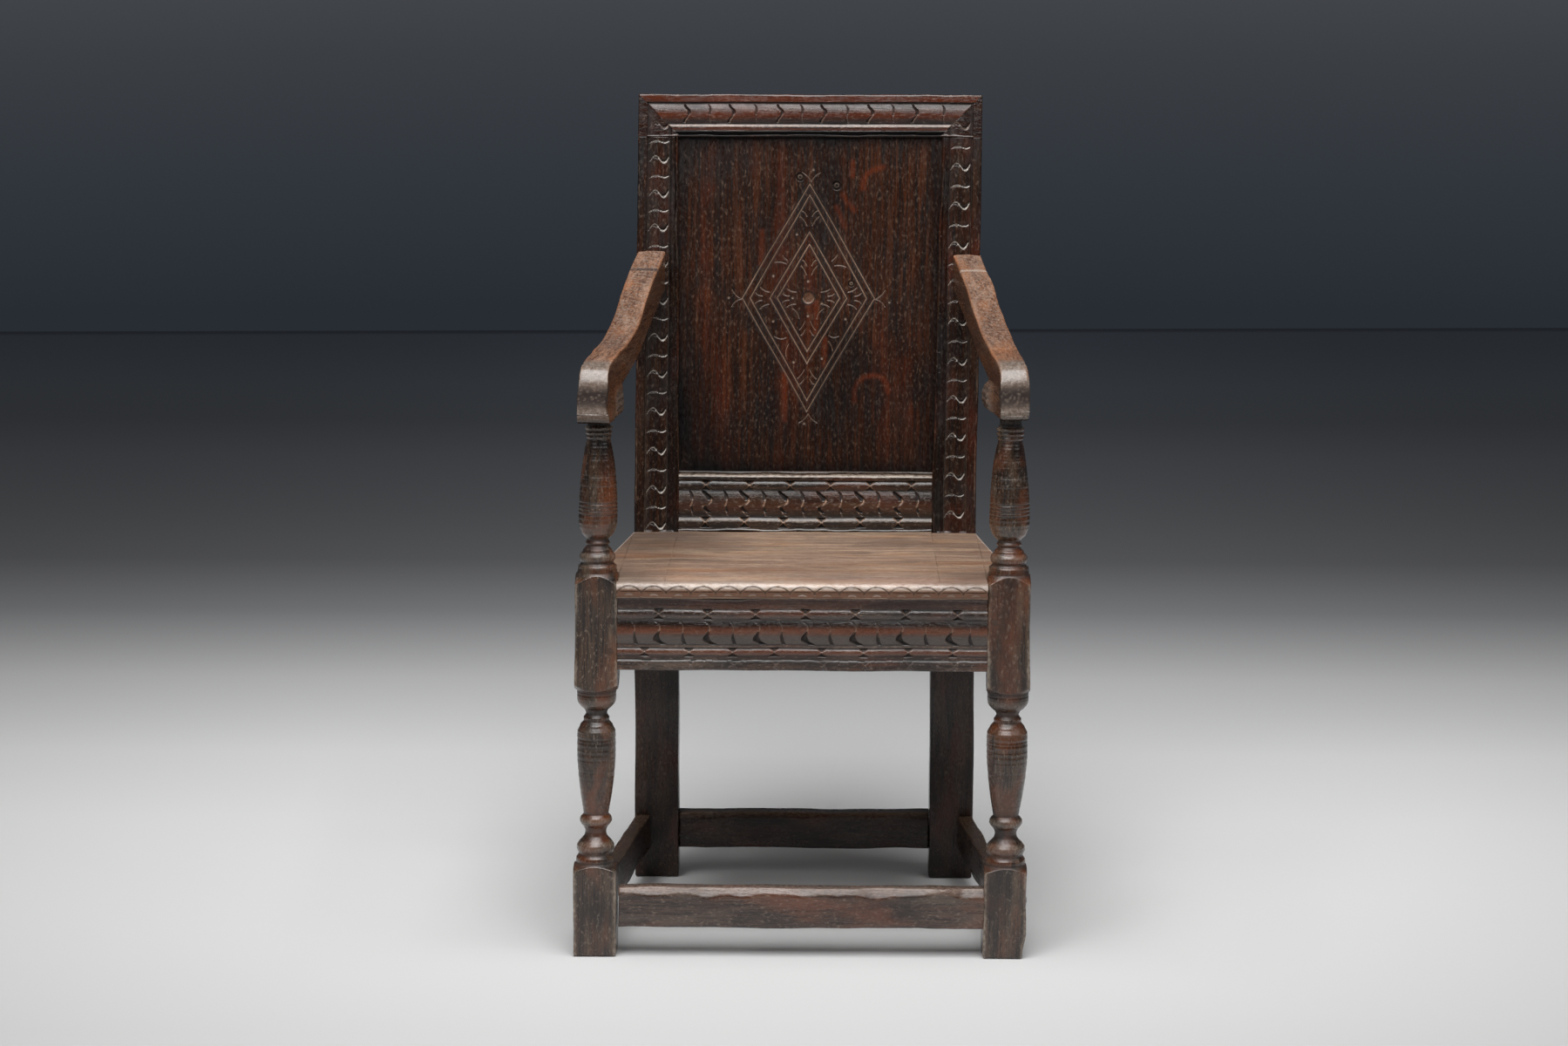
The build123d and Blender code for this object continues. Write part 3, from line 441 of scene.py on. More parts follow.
class Nodes:
    """The emptied node tree of a material or world, and the ways to fill it."""

    def __init__(self, owner):
        owner.use_nodes = True
        self.tree = owner.node_tree
        self.tree.nodes.clear()

    def add(self, kind, inputs=None, output=0, **settings):
        """One node with its settings and inputs, and the output that is used."""
        made = self.tree.nodes.new("ShaderNode" + kind)
        for key, value in settings.items():
            setattr(made, key, value)
        for key, value in (inputs or {}).items():
            if isinstance(value, bpy.types.NodeSocket):
                self.tree.links.new(value, made.inputs[key])
            else:
                made.inputs[key].default_value = value
        return made.outputs if output == "all" else made.outputs[output]

    def axes(self, vector):
        """The three outputs of a vector taken apart."""
        return self.add("SeparateXYZ", {0: vector}, "all")

    def calc(self, operation, a, b):
        """One step of arithmetic."""
        return self.add("Math", {0: a, 1: b}, operation=operation)

    def total(self, *parts):
        """The sum of all parts."""
        result = parts[0]
        for part in parts[1:]:
            result = self.calc("ADD", result, part)
        return result

    def remap(self, value, low, high, to_low=0.0, to_high=1.0, ease="SMOOTHSTEP"):
        """A value from one range to another, held inside it."""
        inputs = {"Value": value, 1: low, 2: high, 3: to_low, 4: to_high}
        return self.add("MapRange", inputs, interpolation_type=ease, clamp=True)

    def blend(self, colour, layers):
        """A colour with others laid over it, each by its own factor."""
        for factor, tint in layers:
            colour = self.add("Mix", {0: factor, 6: colour, 7: tint}, 2, data_type="RGBA")
        return colour

    def ramp(self, factor, stops):
        """Colours that run from stop to stop."""
        made = self.tree.nodes.new("ShaderNodeValToRGB")
        self.tree.links.new(factor, made.inputs[0])
        elements = made.color_ramp.elements
        for index, (place, colour) in enumerate(stops):
            stop = elements[index] if index < 2 else elements.new(place)
            stop.position = place
            stop.color = rgb(colour)
        return made.outputs[0]

    def finish(self, kind, **inputs):
        """Ends the tree in its output node."""
        end = self.tree.nodes.new("ShaderNodeOutput" + kind)
        for key, value in inputs.items():
            self.tree.links.new(value, end.inputs[key])


def oak(
    name, colours, roughness=0.42, relief=0.4, grain_axis=None, mottle=1.0, specular=0.5,
    coat=0.12, ruddy_amount=0.6, long_figure=1.0, broad_scale=55, patchy=1.0, warm_colour=None,
):
    """Old oak: streaked grain, pores, patina and wear.

    colours are the grain's deep, middle, pale and red, worn wood that also serves as a
    painted highlight, and dust in the cuts that also serves as a painted highlight on lit walls.
    On carved pieces it reads where it is from the mesh's own attributes. On a plain node,
    grain_axis orders the object's coordinates so that the third runs along its grain.
    """
    deep, middle, pale, red, worn, dust_and_highlight_colour = (rgb(colour) for colour in colours)
    material = bpy.data.materials.new(name)
    nodes = Nodes(material)
    if grain_axis is None:
        fibre = nodes.add("Attribute", None, "Vector", attribute_name="fibre")
    else:
        split = nodes.axes(nodes.add("TexCoord", None, "Object"))
        ordered = {k: split["XYZ".index(axis)] for k, axis in enumerate(grain_axis)}
        fibre = nodes.add("CombineXYZ", ordered)

    def grain(along, scale, detail, rough, distortion=0.0):
        """Noise between about 0.25 and 0.75, drawn out along the fibre."""
        drawn_out = nodes.add("VectorMath", {0: fibre, 1: (1, 1, along)}, operation="MULTIPLY")
        return nodes.add("TexNoise", {
            "Vector": drawn_out, "Scale": scale, "Detail": detail, "Roughness": rough,
            "Distortion": distortion,
        })

    streak = grain(0.035, 420, 4, 0.65)
    broad = grain(0.12 * long_figure, broad_scale, 3, 0.6, 0.4)
    pores = grain(0.05, 1500, 2, 0.5)
    blotch = grain(0.6, 16, 4, 0.6, 0.3)
    fleck = grain(0.5, 340, 3, 0.6)
    ruddy = grain(0.3 * long_figure, 30, 2, 0.5)
    grit = grain(0.55, 800, 3, 0.7)
    colour = nodes.blend(deep, [
        (nodes.remap(streak, 0.36, 0.66), middle),
        (nodes.remap(broad, 0.45, 0.72, 0.0, 0.75), pale),
        (nodes.remap(ruddy, 0.48, 0.68, 0.0, ruddy_amount), red),
        (nodes.remap(blotch, 0.44, 0.66, 0.0, 0.62 * mottle), darker(deep, 0.42)),
        (nodes.remap(fleck, 0.55, 0.72, 0.0, 0.3 * mottle), worn),
        (nodes.remap(pores, 0.36, 0.48, 0.5, 0.0), darker(deep, 0.3)),
        (nodes.remap(grit, 0.34, 0.5, 0.4, 0.0), darker(deep, 0.35)),
    ])
    polish = nodes.total(
        nodes.remap(blotch, 0.35, 0.68, roughness - 0.06 * patchy, roughness + 0.14 * patchy),
        nodes.remap(streak, 0.35, 0.65, 0.06, -0.05), nodes.remap(fleck, 0.4, 0.62, 0.0, 0.12),
    )
    if grain_axis is None:
        cut, wear_and_highlight_mark, line, tone, gloss, warm = (
            nodes.add("Attribute", None, "Fac", attribute_name=label) for label in mark_names
        )

        def broken(mark, pattern, *ranges):
            """A mark whose strength varies with the grain."""
            return nodes.calc("MULTIPLY", mark, nodes.remap(pattern, *ranges))

        rubbed_and_lit = broken(wear_and_highlight_mark, fleck, 0.3, 0.62, 0.35, 1.0)
        # Painted light in the colour: lit edges pale with the wear colour, a grey stands for a reflected
        # sheen on polished parts, hollows and creases take painted shade with their grime, lit cut walls
        # a painted highlight in the dust colour, and shaded parts darken with the stains.
        colour = nodes.blend(colour, [
            (broken(warm, grit, 0.4, 0.6, 0.5, 1.0), rgb(warm_colour) if warm_colour else red),
            (nodes.calc("MULTIPLY", gloss, 0.85), rgb((66, 56, 49))),
            (nodes.calc("MINIMUM", rubbed_and_lit, 1.0), worn),
            (broken(cut, fleck, 0.3, 0.7, 1.0, 0.6), darker(deep, 0.22)),
            (broken(line, blotch, 0.3, 0.6, 1.0, 0.6), dust_and_highlight_colour),
            (tone, darker(deep, 0.3)),
        ])
        polish = nodes.total(
            polish, nodes.calc("MULTIPLY", gloss, -0.05), nodes.calc("MULTIPLY", cut, 0.55)
        )
    height = nodes.total(*(
        nodes.calc("MULTIPLY", pattern, share)
        for pattern, share in ((streak, 0.6), (pores, 0.5), (fleck, 0.35))
    ))
    bump = nodes.add("Bump", {"Strength": relief, "Distance": 0.0009, "Height": height})
    surface = nodes.add("BsdfPrincipled", {
        "Base Color": colour, "Roughness": polish, "Normal": bump, "IOR": 1.48,
        "Specular IOR Level": specular, "Coat Weight": coat, "Coat Roughness": 0.24,
    })
    nodes.finish("Material", Surface=surface)
    return material


frame_oak = oak(
    "frame_oak",
    ((17, 9, 6), (50, 28, 17), (66, 46, 33), (76, 34, 19), (138, 114, 94), (224, 214, 202)),
    roughness=0.2, coat=0.0,
)
lower_oak = oak(
    "lower_oak",
    ((22, 12, 7), (58, 38, 25), (76, 58, 42), (84, 44, 26), (170, 154, 140), (180, 146, 122)),
    roughness=0.17, specular=0.7, coat=0.1,
)
crest_oak = oak(
    "crest_oak",
    ((24, 10, 6), (62, 29, 16), (76, 46, 30), (94, 42, 20), (178, 156, 142), (190, 160, 142)),
    roughness=0.17, specular=0.65, coat=0.05,
)
post_oak = oak(
    "post_oak",
    ((22, 12, 7), (72, 50, 35), (98, 80, 64), (106, 56, 28), (162, 146, 130), (160, 144, 130)),
    roughness=0.16, mottle=1.15, specular=0.75, coat=0.1,
)
rail_oak = oak(
    "rail_oak",
    ((30, 17, 11), (80, 58, 46), (104, 88, 76), (106, 56, 32), (158, 138, 124), (150, 120, 100)),
    roughness=0.18, mottle=1.2, specular=0.8,
)
panel_oak = oak(
    "panel_oak",
    ((15, 7, 4), (56, 28, 14), (80, 43, 23), (100, 40, 15), (136, 106, 82), (150, 124, 104)),
    roughness=0.27, specular=0.35, coat=0.0, ruddy_amount=0.3, long_figure=0.3, broad_scale=170,
    patchy=0.25, warm_colour=(140, 58, 20),
)
seat_oak = oak(
    "seat_oak",
    ((128, 102, 84), (168, 138, 118), (196, 166, 138), (184, 130, 82), (204, 190, 180),
     (200, 186, 172)),
    roughness=0.4, mottle=0.8, specular=0.45, ruddy_amount=0.3, warm_colour=(138, 78, 44),
)
arm_oak = oak(
    "arm_oak",
    ((78, 50, 35), (146, 106, 82), (172, 138, 116), (164, 104, 64), (164, 150, 138),
     (186, 172, 158)),
    roughness=0.22, relief=0.22, mottle=0.6, specular=0.65, coat=0.1, patchy=0.5,
)
peg_colours = (
    (36, 24, 18), (60, 42, 33), (84, 66, 54), (80, 50, 36), (120, 104, 92), (140, 124, 110)
)
pegs_along_y = (
    "pegs_front_rail", "pegs_rear_rail", "pegs_rear_stretcher", "pegs_lower_back_rail",
    "pegs_crest_rail",
)
pegs_along_x = (
    "pegs_side_rails_front", "pegs_side_rails_rear", "pegs_side_stretchers_front",
    "pegs_side_stretchers_rear", "pegs_arms",
)
for name, node in frame["nodes"].items():
    axes = "XZY" if name in pegs_along_y else "YZX" if name in pegs_along_x else "XYZ"
    label = "peg_oak_" + axes
    node.data.materials.clear()
    node.data.materials.append(bpy.data.materials.get(label) or oak(label, peg_colours, grain_axis=axes))


# ---------------------------------------------------------------- the leaning back
fillet_width, crest_fillet = 12.0, 10.0
quirk_width, quirk_depth = 3.0, 3.5
cushion_width, crest_cushion = 27.0, 25.0
edge_depth, crown_depth = 2.6, 0.4
bead_gap, bead_width = 1.2, 9.0
bead_edge_depth, bead_crown = 2.4, 0.8
inner_bevel_width, inner_bevel_depth = 5.0, 3.0  # beside the panel
carving_step = 0.8  # between the stations of a carved rail


def band(a, low, high, edge, crown):
    """Depth of a rounded band between two edges, and 0 outside it."""
    v = (a - (low + high) / 2) / ((high - low) / 2)
    return np.where(np.abs(v) <= 1, -crown - (edge - crown) * v * v, 0.0)


def moulding(a, fillet, cushion):
    """Depth of the frame moulding at a distance from its outer edge."""
    quirk_end = fillet + quirk_width
    cushion_end = quirk_end + cushion
    bead_start = cushion_end + bead_gap
    q = (a - fillet) / quirk_width
    rise = 1 - (1 - edge_depth / quirk_depth) * smooth(q, 0.5, 1)
    dip = np.where(q < 0.35, smooth(q, 0, 0.35), rise)
    depth = np.where((a > fillet) & (a < quirk_end), -quirk_depth * dip, 0.0)
    depth += band(a, quirk_end, cushion_end, edge_depth, crown_depth)
    depth = np.where((a > cushion_end) & (a < bead_start), -quirk_depth, depth)
    return depth + band(a, bead_start, bead_start + bead_width, bead_edge_depth, bead_crown)


def on_back(x, out, up):
    """A point of the leaning back: across, out of its face, up its slope from the knee.

    Below the knee the back posts stand upright.
    """
    turn = rake * smooth(up, -14, 14)
    above = np.maximum(up, 0)
    leaning = x + back_lean * above / crest_top
    y = back_y + above * sin(rake) - out * np.cos(turn)
    z = knee_height + np.minimum(up, 0) + above * cos(rake) + out * np.sin(turn)
    return stack(leaning, y, z)


# In the middle of the left post the S cuts sit up to 12 mm higher than even steps would put them.
left_cuts = spaced(48, 48.3, 579, 1.5, chance)
left_cuts += 12.0 * np.maximum(np.sin(pi * (left_cuts - 48) / (579 - 48)), 0) ** 1.4
right_cuts = spaced(65, 51.2, 577, 1.5, chance)
corner_cut_up = 579.0  # the first S of each post lies on the end of the crest rail


def stile(name, side):
    """A back post: its foot, its knee and its moulded and carved face."""
    section = box_section(74)
    stations = joined(
        -knee_height + np.array([0, 1.0, 2.2, 4]), steps(-knee_height + 4, -24, 9),
        steps(-24, 30, 4), steps(30, crest_bottom - 0.4, 0.85),
    )
    taper = clamp((stations - lower_rail_top) / (crest_bottom - lower_rail_top))
    wide = (stile_width - taper * (stile_width - stile_top_width))[:, None]
    radius = worn_radius(stations, 2.0, 5 + side)
    across, out, along = blank(stations, section, wide, stile_depth, radius)
    draw = drawn_in(stations + knee_height, foot_rounding)[:, None]
    across = wide / 2 + (across - wide / 2) * (1 - 2 * draw / wide)
    out = -stile_depth / 2 + (out + stile_depth / 2) * (1 - 2 * draw / stile_depth)
    carved = smooth(along, seat_line - 2, seat_line + 2) * (section[2] == 0)
    depth = moulding(across, fillet_width, cushion_width)
    t = (across - fillet_width - quirk_width) / cushion_width
    big = left_cuts if side < 0 else right_cuts
    cut, line, grime_and_shade = carve_waves(
        1 - t if side > 0 else t, along, big, between(big), stile_line, stile_small_line, stile_look
    )
    bevel = -inner_bevel_depth * clamp(1 - (wide - across) / inner_bevel_width)
    out = out + carved * (depth - cut + bevel)
    quirks = clamp(-depth / quirk_depth) ** 3
    dusty = quirks * (0.04 + 0.2 * smooth(-along, -420, -60))
    # cut is grime with painted shade in the hollows and quirks, line a painted highlight with dust on
    # the lit walls of the S cuts; the inner bead and bevel are toned darker
    marks = {
        "cut": carved * clamp(0.6 * grime_and_shade + 0.5 * quirks),
        "line": carved * line,
        "worn": carved * np.maximum(0.3 * (across < 2.5), dusty),
        "tone": carved * 0.55 * smooth(across, 41, 44),
    }
    points = on_back(side * (half_back - across), out, along)
    points += 0.35 * wander(points, 130, 11 + side)
    fibre = (across, out, along)
    finish_piece(name + "_carved", points, fibre, marks, frame_oak, name)


def crest():
    """The crest rail, its moulding turned down at both ends."""
    section = box_section(80)
    half = half_back
    middle = steps(-half + 0.5, half - 0.5, carving_step)
    stations = joined([-half, -half + 0.5], middle, [half - 0.5, half])
    height = crest_top - crest_bottom
    radius = worn_radius(stations, 1.8, 21, 0.3)
    across, out, along = blank(stations, section, height, stile_depth, radius)
    from_end = half - np.abs(along)
    draw = drawn_in(from_end, 1.5)
    across = across + np.where(across < height / 2, draw, -draw)
    out = out + np.where(out < -stile_depth / 2, draw, -draw)
    on_face = np.broadcast_to(section[2] == 0, across.shape)
    returned = from_end < across  # beyond the mitre the moulding runs down the post
    inside = ~returned & on_face
    depth = np.where(
        returned, moulding(from_end, fillet_width, cushion_width),
        moulding(across, crest_fillet, crest_cushion),
    )
    t = (across - crest_fillet - quirk_width) / crest_cushion
    big = spaced(-161, 60, 140, 2.0, chance)
    small = np.append(between(big), 176)
    cut, line, grime_and_shade = carve_waves(t, along, big, small, crest_line, rail_small_line, crest_look, 0.85)
    corner_t = (from_end - fillet_width - quirk_width) / cushion_width
    corner_t = np.where(along > 0, 1 - corner_t, corner_t)
    corner_offset = (height - across) - (corner_cut_up - crest_bottom)
    corner = s_cut(corner_t, corner_offset, stile_line, 1.0, stile_look)
    bead_start = crest_fillet + quirk_width + crest_cushion + bead_gap
    foot = bead_start + bead_width
    depth = np.where(~returned & (across > foot), -1.5 * (across - foot), depth)
    out = out + on_face * (depth + inside * -cut - returned * corner[0])
    quirks = clamp(-depth / quirk_depth) ** 3
    # Painted light on the crest: a painted shadow on the underside behind the bead, painted shade under
    # the bead's foot and on the lower cushion, and a painted highlight with wear on the bead. The
    # returned ends are simply darker.
    shaded_underside = (across > foot + 2) * (out > -14) * (1.0 - on_face) * ~returned
    carved = 0.9 * grime_and_shade * inside + 0.8 * quirks + inside * smooth(across, foot - 0.5, foot + 1)
    bead_wear_and_highlight = 0.6 * groove(across - bead_start - 2.2, 2.0)
    marks = {
        "cut": on_face * clamp(carved) + shaded_underside,
        "line": on_face * np.maximum(0.6 * line * inside, returned * corner[1]),
        "worn": on_face * (0.8 * groove(across - 1.0, 1.6) + inside * bead_wear_and_highlight),
        "tone": on_face * clamp(
            0.5 * returned + inside * smooth(across, foot - 1, foot + 1)
            + 0.5 * inside * smooth(across, 30, 38) * (across < 38.5)
        ),
        "warm": 0.6 * on_face * inside * (
            (across < 10) + bell(across, 27, 5.5) + 1.4 * groove(across - foot + 2.2, 2.6)
        ),
    }
    points = on_back(along, out, crest_top - across)
    points += 0.22 * wander(points, 150, 31)
    fibre = (across, out, along)
    finish_piece("crest_rail_carved", points, fibre, marks, crest_oak, "crest_rail")


# ---------------------------------------------------------------- carved rails
# Moulded bands: upper edge, lower edge and the depth of the crown, from the rail's top.
lower_bands = ((13.0, 25.0, 0.6), (26.5, 59.5, 0.3), (62.0, 74.5, 0.6))
front_bands = ((14.6, 26.5, 0.5), (28.5, 58.0, 0.2), (62.8, 72.5, 0.8))
band_edge_depth = 2.6


def banded_rail(node, half, height, thick, place, bands, carving, plain, tints, material, seed):
    """A rail whose face is moulded in bands and carved; tints are its marks by height."""
    section = box_section(100)
    stations = steps(-half, half, carving_step)
    radius = worn_radius(stations, 1.3, seed)
    down, out, along = blank(stations, section, height, thick, radius)
    on_face = np.broadcast_to(section[2] == 0, down.shape)
    depth = np.full_like(down, -band_edge_depth)
    for high, low, crown in bands:
        inside = (down >= high) & (down <= low)
        depth = np.where(inside, band(down, high, low, band_edge_depth, crown), depth)
    cut, line, grime_and_shade = carving(down, along)
    out = out + on_face * (plain(down, depth) - cut)
    edges = sum(groove(down - edge, 1.4) for band_here in bands for edge in band_here[:2])
    marks = {label: on_face * clamp(values) for label, values in tints(down).items()}
    # grime with painted shade in the hollows and along the band edges; the sheen stays off the hollows
    marks["cut"] = on_face * clamp(grime_and_shade + 0.8 * edges)
    marks["line"] = on_face * line
    if "gloss" in marks:
        marks["gloss"] = marks["gloss"] * (1 - clamp(grime_and_shade))
    points = place(along, out, down)
    points += 0.25 * wander(points, 110, seed + 2)
    fibre = (down, out, along)
    finish_piece(node + "_carved", points, fibre, marks, material, node)


def lower_rail():
    """The rail under the panel, above the seat."""
    height = lower_rail_top - (seat_line + 0.5)
    big = spaced(-130, 52, 125, 2.5, chance)
    small = np.concatenate([[-151], between(big), [149]])
    crosses_top = spaced(-130, 54, 143, 2.5, chance)
    crosses_low = spaced(-134, 52, 125, 2.5, chance)
    cushion_top, cushion_foot, _ = lower_bands[1]

    def carving(down, along):
        t = (down - cushion_top) / (cushion_foot - cushion_top)
        cushion = carve_waves(t, along, big, small, lower_line, rail_small_line, lower_look, 1.15)
        top = carve_crosses((down - 19.0) / 6.0, along, crosses_top)
        low = carve_crosses((down - 68.2) / 6.2, along, crosses_low, 1.3)
        return [cushion[0] + top[0] + low[0]] + [
            np.maximum.reduce([cushion[k], 0.8 * top[k], low[k]]) for k in (1, 2)
        ]

    def plain(down, depth):
        bevelled = -7.0 * clamp(1 - down / 7.4)
        return np.where(down < 12.0, bevelled, depth)

    def tints(down):
        # the top bevel and the bottom bead's edge are paled as wear with a painted highlight; the darker
        # lower cushion is painted shade
        return {
            "worn": fade(down, 6.4, 8.0) + 0.5 * groove(down - 65.5, 2.6),
            "warm": 0.5 * bell(down, 46, 8),
            "tone": 0.5 * smooth(down, 50, 59) * (down < 60),
        }

    def place(along, out, down):
        return on_back(along, out, lower_rail_top - down)

    banded_rail(
        "lower_back_rail", back_inner, height, 32.0, place, lower_bands, carving, plain, tints,
        lower_oak, 41,
    )


def front_rail():
    """The carved rail under the front of the seat."""
    rng = np.random.default_rng(77)
    crosses_top = spaced(-177, 61, 188, 3.0, rng)
    big = spaced(-175, 59.5, 181, 2.5, rng)
    small = np.concatenate([[-206], between(big), [204]])
    crosses_low = spaced(-195, 54.5, 185, 2.5, rng)
    cushion_top, cushion_foot, _ = front_bands[1]

    def carving(down, along):
        t = (down - cushion_top) / (cushion_foot - cushion_top)
        cushion = carve_waves(t, along, big, small, front_line, rail_small_line, front_look)
        top = carve_crosses((down - 20.5) / 6.0, along, crosses_top)
        low = carve_crosses((down - 67.6) / 5.0, along, crosses_low, 0.8)
        foot = carve_crosses((down - 84.0) / 6.0, along, crosses_low + 2, 0.35)
        punched = sum(groove(np.hypot(along - x, down - 21.0), 1.6) for x in between(crosses_top))
        # painted shade along two band edges, dimming their highlights
        softened = np.maximum(0.5 * groove(down - 77.8, 2.2), 0.45 * groove(down - 62.2, 1.8))
        return [
            cushion[0] + top[0] + low[0] + foot[0] + 0.8 * punched,
            np.maximum.reduce([0.8 * cushion[1], 0.7 * top[1], 0.45 * low[1], 0.3 * foot[1]]),
            np.maximum.reduce([cushion[2], top[2], low[2], 0.4 * foot[2], punched, softened]),
        ]

    def plain(down, depth):
        fascia = np.where(down < front_bands[0][0], -2.5, depth)
        return np.where(down > 78.0, 0.0, fascia)

    def tints(down):
        # thin pale lines on two arrises are wear with a painted highlight; the darker top of the cushion
        # is painted shade under the nosing, darker lines at three band edges dim their highlights, and
        # the grey sheen on the lower cushion is a painted reflection
        return {
            "worn": 0.15 * groove(down - 14.2, 1.2) + 0.3 * groove(down - 60.5, 1.2),
            "warm": 0.85 * bell(down, 41, 6) + 0.7 * bell(down, 67.5, 4) + 0.3 * fade(down, 11, 14),
            "tone": 0.8 * fade(down, 31, 40) * smooth(down, 28, 29)
            + 0.55 * groove(down - 78.6, 1.8) + 0.4 * groove(down - 63.2, 1.5)
            + 0.35 * groove(down - 15.2, 1.3),
            "gloss": 0.9 * smooth(down, 43, 49) * fade(down, 56.5, 58.5),
        }

    def place(along, out, down):
        return stack(along, front_y + 3.0 - out, seat_bottom - down)

    banded_rail(
        "front_seat_rail", front_inner, 90.0, 30.0, place, front_bands, carving, plain, tints,
        rail_oak, 51,
    )


# ---------------------------------------------------------------- front posts
block_corner = post_size * 0.7072
# A turning as stretches: upper height, upper radius, and how far it swells past straight.
lower_turning = (
    (115.0, 24.4, 0.0), (122.0, 24.4, 0.0), (127.0, 20.5, 0.0), (142.5, 20.5, 3.2),
    (163.5, 17.6, -5.8), (177.0, 15.4, 3.8), (250.0, 24.4, 1.4), (273.0, 24.3, 0.2),
    (294.5, 16.4, 2.9), (299.5, 16.4, 0.0), (311.4, 18.2, -3.8), (323.0, 24.6, 1.8),
    (333.0, 24.6, 0.0), (343.0, block_corner, 0.0),
)
upper_turning = (
    (480.5, 24.9, 0.0), (488.6, 24.2, 0.0), (492.6, 20.0, -0.8), (504.6, 20.4, 2.6),
    (506.4, 17.6, 0.0), (509.4, 17.2, 0.9), (514.6, 13.2, -0.8), (519.4, 13.6, 1.7),
    (522.6, 13.8, -0.4), (532.5, 21.4, 1.6), (546.0, 24.2, 1.0), (562.0, 24.1, 0.2),
    (602.0, 21.2, 0.4), (645.6, 14.2, 0.8), (650.2, 14.2, 1.5), (655.6, 14.2, 2.6),
    (661.4, 14.0, 2.9), (672.0, 12.8, -0.4),
)
foot_block_top, seat_block_top = 107.0, 467.0
post_top = upper_turning[-1][0]
incised_lines = (553.0, 557.5, 562.0, 567.0)


def turned_radius(z):
    """Radius of the turned front post at each height; the blocks are cut square later."""
    radius = np.full_like(z, block_corner)
    for start, stretches in ((foot_block_top, lower_turning), (seat_block_top, upper_turning)):
        low, low_radius = start, block_corner
        for high, high_radius, swell in stretches:
            t = (z - low) / (high - low)
            curve = low_radius + (high_radius - low_radius) * t + 4 * swell * t * (1 - t)
            radius = np.where((t >= 0) & (t <= 1), curve, radius)
            low, low_radius = high, high_radius
    return radius


def post_drift(z, side):
    """How far a front post stands off the upright at a height: neither is quite plumb."""
    if side < 0:
        return np.interp(z, (0, 120, 300, 500, 660, 900), (-2.6, -1.8, 0.0, 2.6, 5.0, 5.0))
    return np.interp(z, (0, 120, 300, 660, 900), (-2.4, -0.8, 0.0, -0.8, -0.8))


def front_post(name, side):
    """A front post: square blocks at the joints and turned lengths between them."""
    stations = joined(
        [0, 0.8, 2, 4], steps(4, 100, 7), steps(100, 350, 0.9), steps(350, 460, 7),
        steps(460, 640, 0.9), steps(640, post_top, 0.6),
    )
    octant = (1 - (1 - np.linspace(0, 1, 13)) ** 1.6) * pi / 4
    quadrant = np.concatenate([octant, pi / 2 - octant[-2:0:-1]])
    angle = np.concatenate([quadrant + k * pi / 2 for k in range(4)])
    fine = steps(0, post_top, 0.25)
    blur = np.exp(-0.5 * (np.arange(-6, 7) / 1.8) ** 2)
    eased = np.convolve(np.pad(turned_radius(fine), 6, mode="edge"), blur / blur.sum(), "valid")
    turned = np.interp(stations, fine, eased)[:, None]
    z = stations[:, None] + 0 * angle
    sharp = np.clip(22 + 9 * waves(stack(z, z * 0, z * 0 + side * 70), 60, 61), 10, 40)
    reach = (np.abs(np.cos(angle)) ** sharp + np.abs(np.sin(angle)) ** sharp) ** (-1 / sharp)
    square = post_size / 2 * reach
    scored = sum(groove(z - height, 1.3) for height in incised_lines)
    radius = np.minimum(turned, square) - drawn_in(z, foot_rounding) * 1.2
    for height in incised_lines:
        radius = radius - 0.9 * groove(z - height, 1.3)
    turning = smooth(square - turned, -0.5, 1.0)
    tool_marks = waves(stack(z * 0, z * 3, z * 0), 8, 63)
    radius = (radius + 0.12 * turning * tool_marks) * (1 + turning * 0.02 * side)
    centre_x = side * post_centre_x
    points = stack(
        centre_x + radius * np.cos(angle), post_centre_y + radius * np.sin(angle), z
    )
    points[..., :2] += 0.35 * wander(points, 120, 65 + side)[..., :2]
    fibre = (points[..., 0] - centre_x, points[..., 1] - post_centre_y, z)
    points[..., 0] += post_drift(z, side)
    if side > 0:  # the outer corner of this foot is worn away
        points[..., 0] -= 5.0 * smooth(np.cos(angle), 0.3, 0.9) * fade(z, 6, 34)
    corner = smooth(reach, 1.28, 1.38) * (1 - turning)
    local_mean = np.convolve(turned[:, 0], np.ones(25) / 25, "same")[:, None]
    valley = clamp((local_mean - turned) / 4.0) * turning
    ridge = clamp((turned - local_mean) / 3.0) * turning
    dark_neck = smooth(z, 585, 640) * (z < 645)
    marks = {
        "cut": clamp(0.75 * valley + 0.7 * scored + smooth(z, 661.5, 663)),
        "worn": clamp(0.55 * corner + 0.3 * ridge),
        "tone": 0.75 * dark_neck * smooth(waves(points, 30, 69 + side), -0.6, 0.5),
        "warm": turning * 0.5 * smooth(waves(points * (1, 1, 0.5), 24, 73 + side), -0.3, 1.0),
    }
    finish_piece(name + "_turned", points, fibre, marks, post_oak, name)


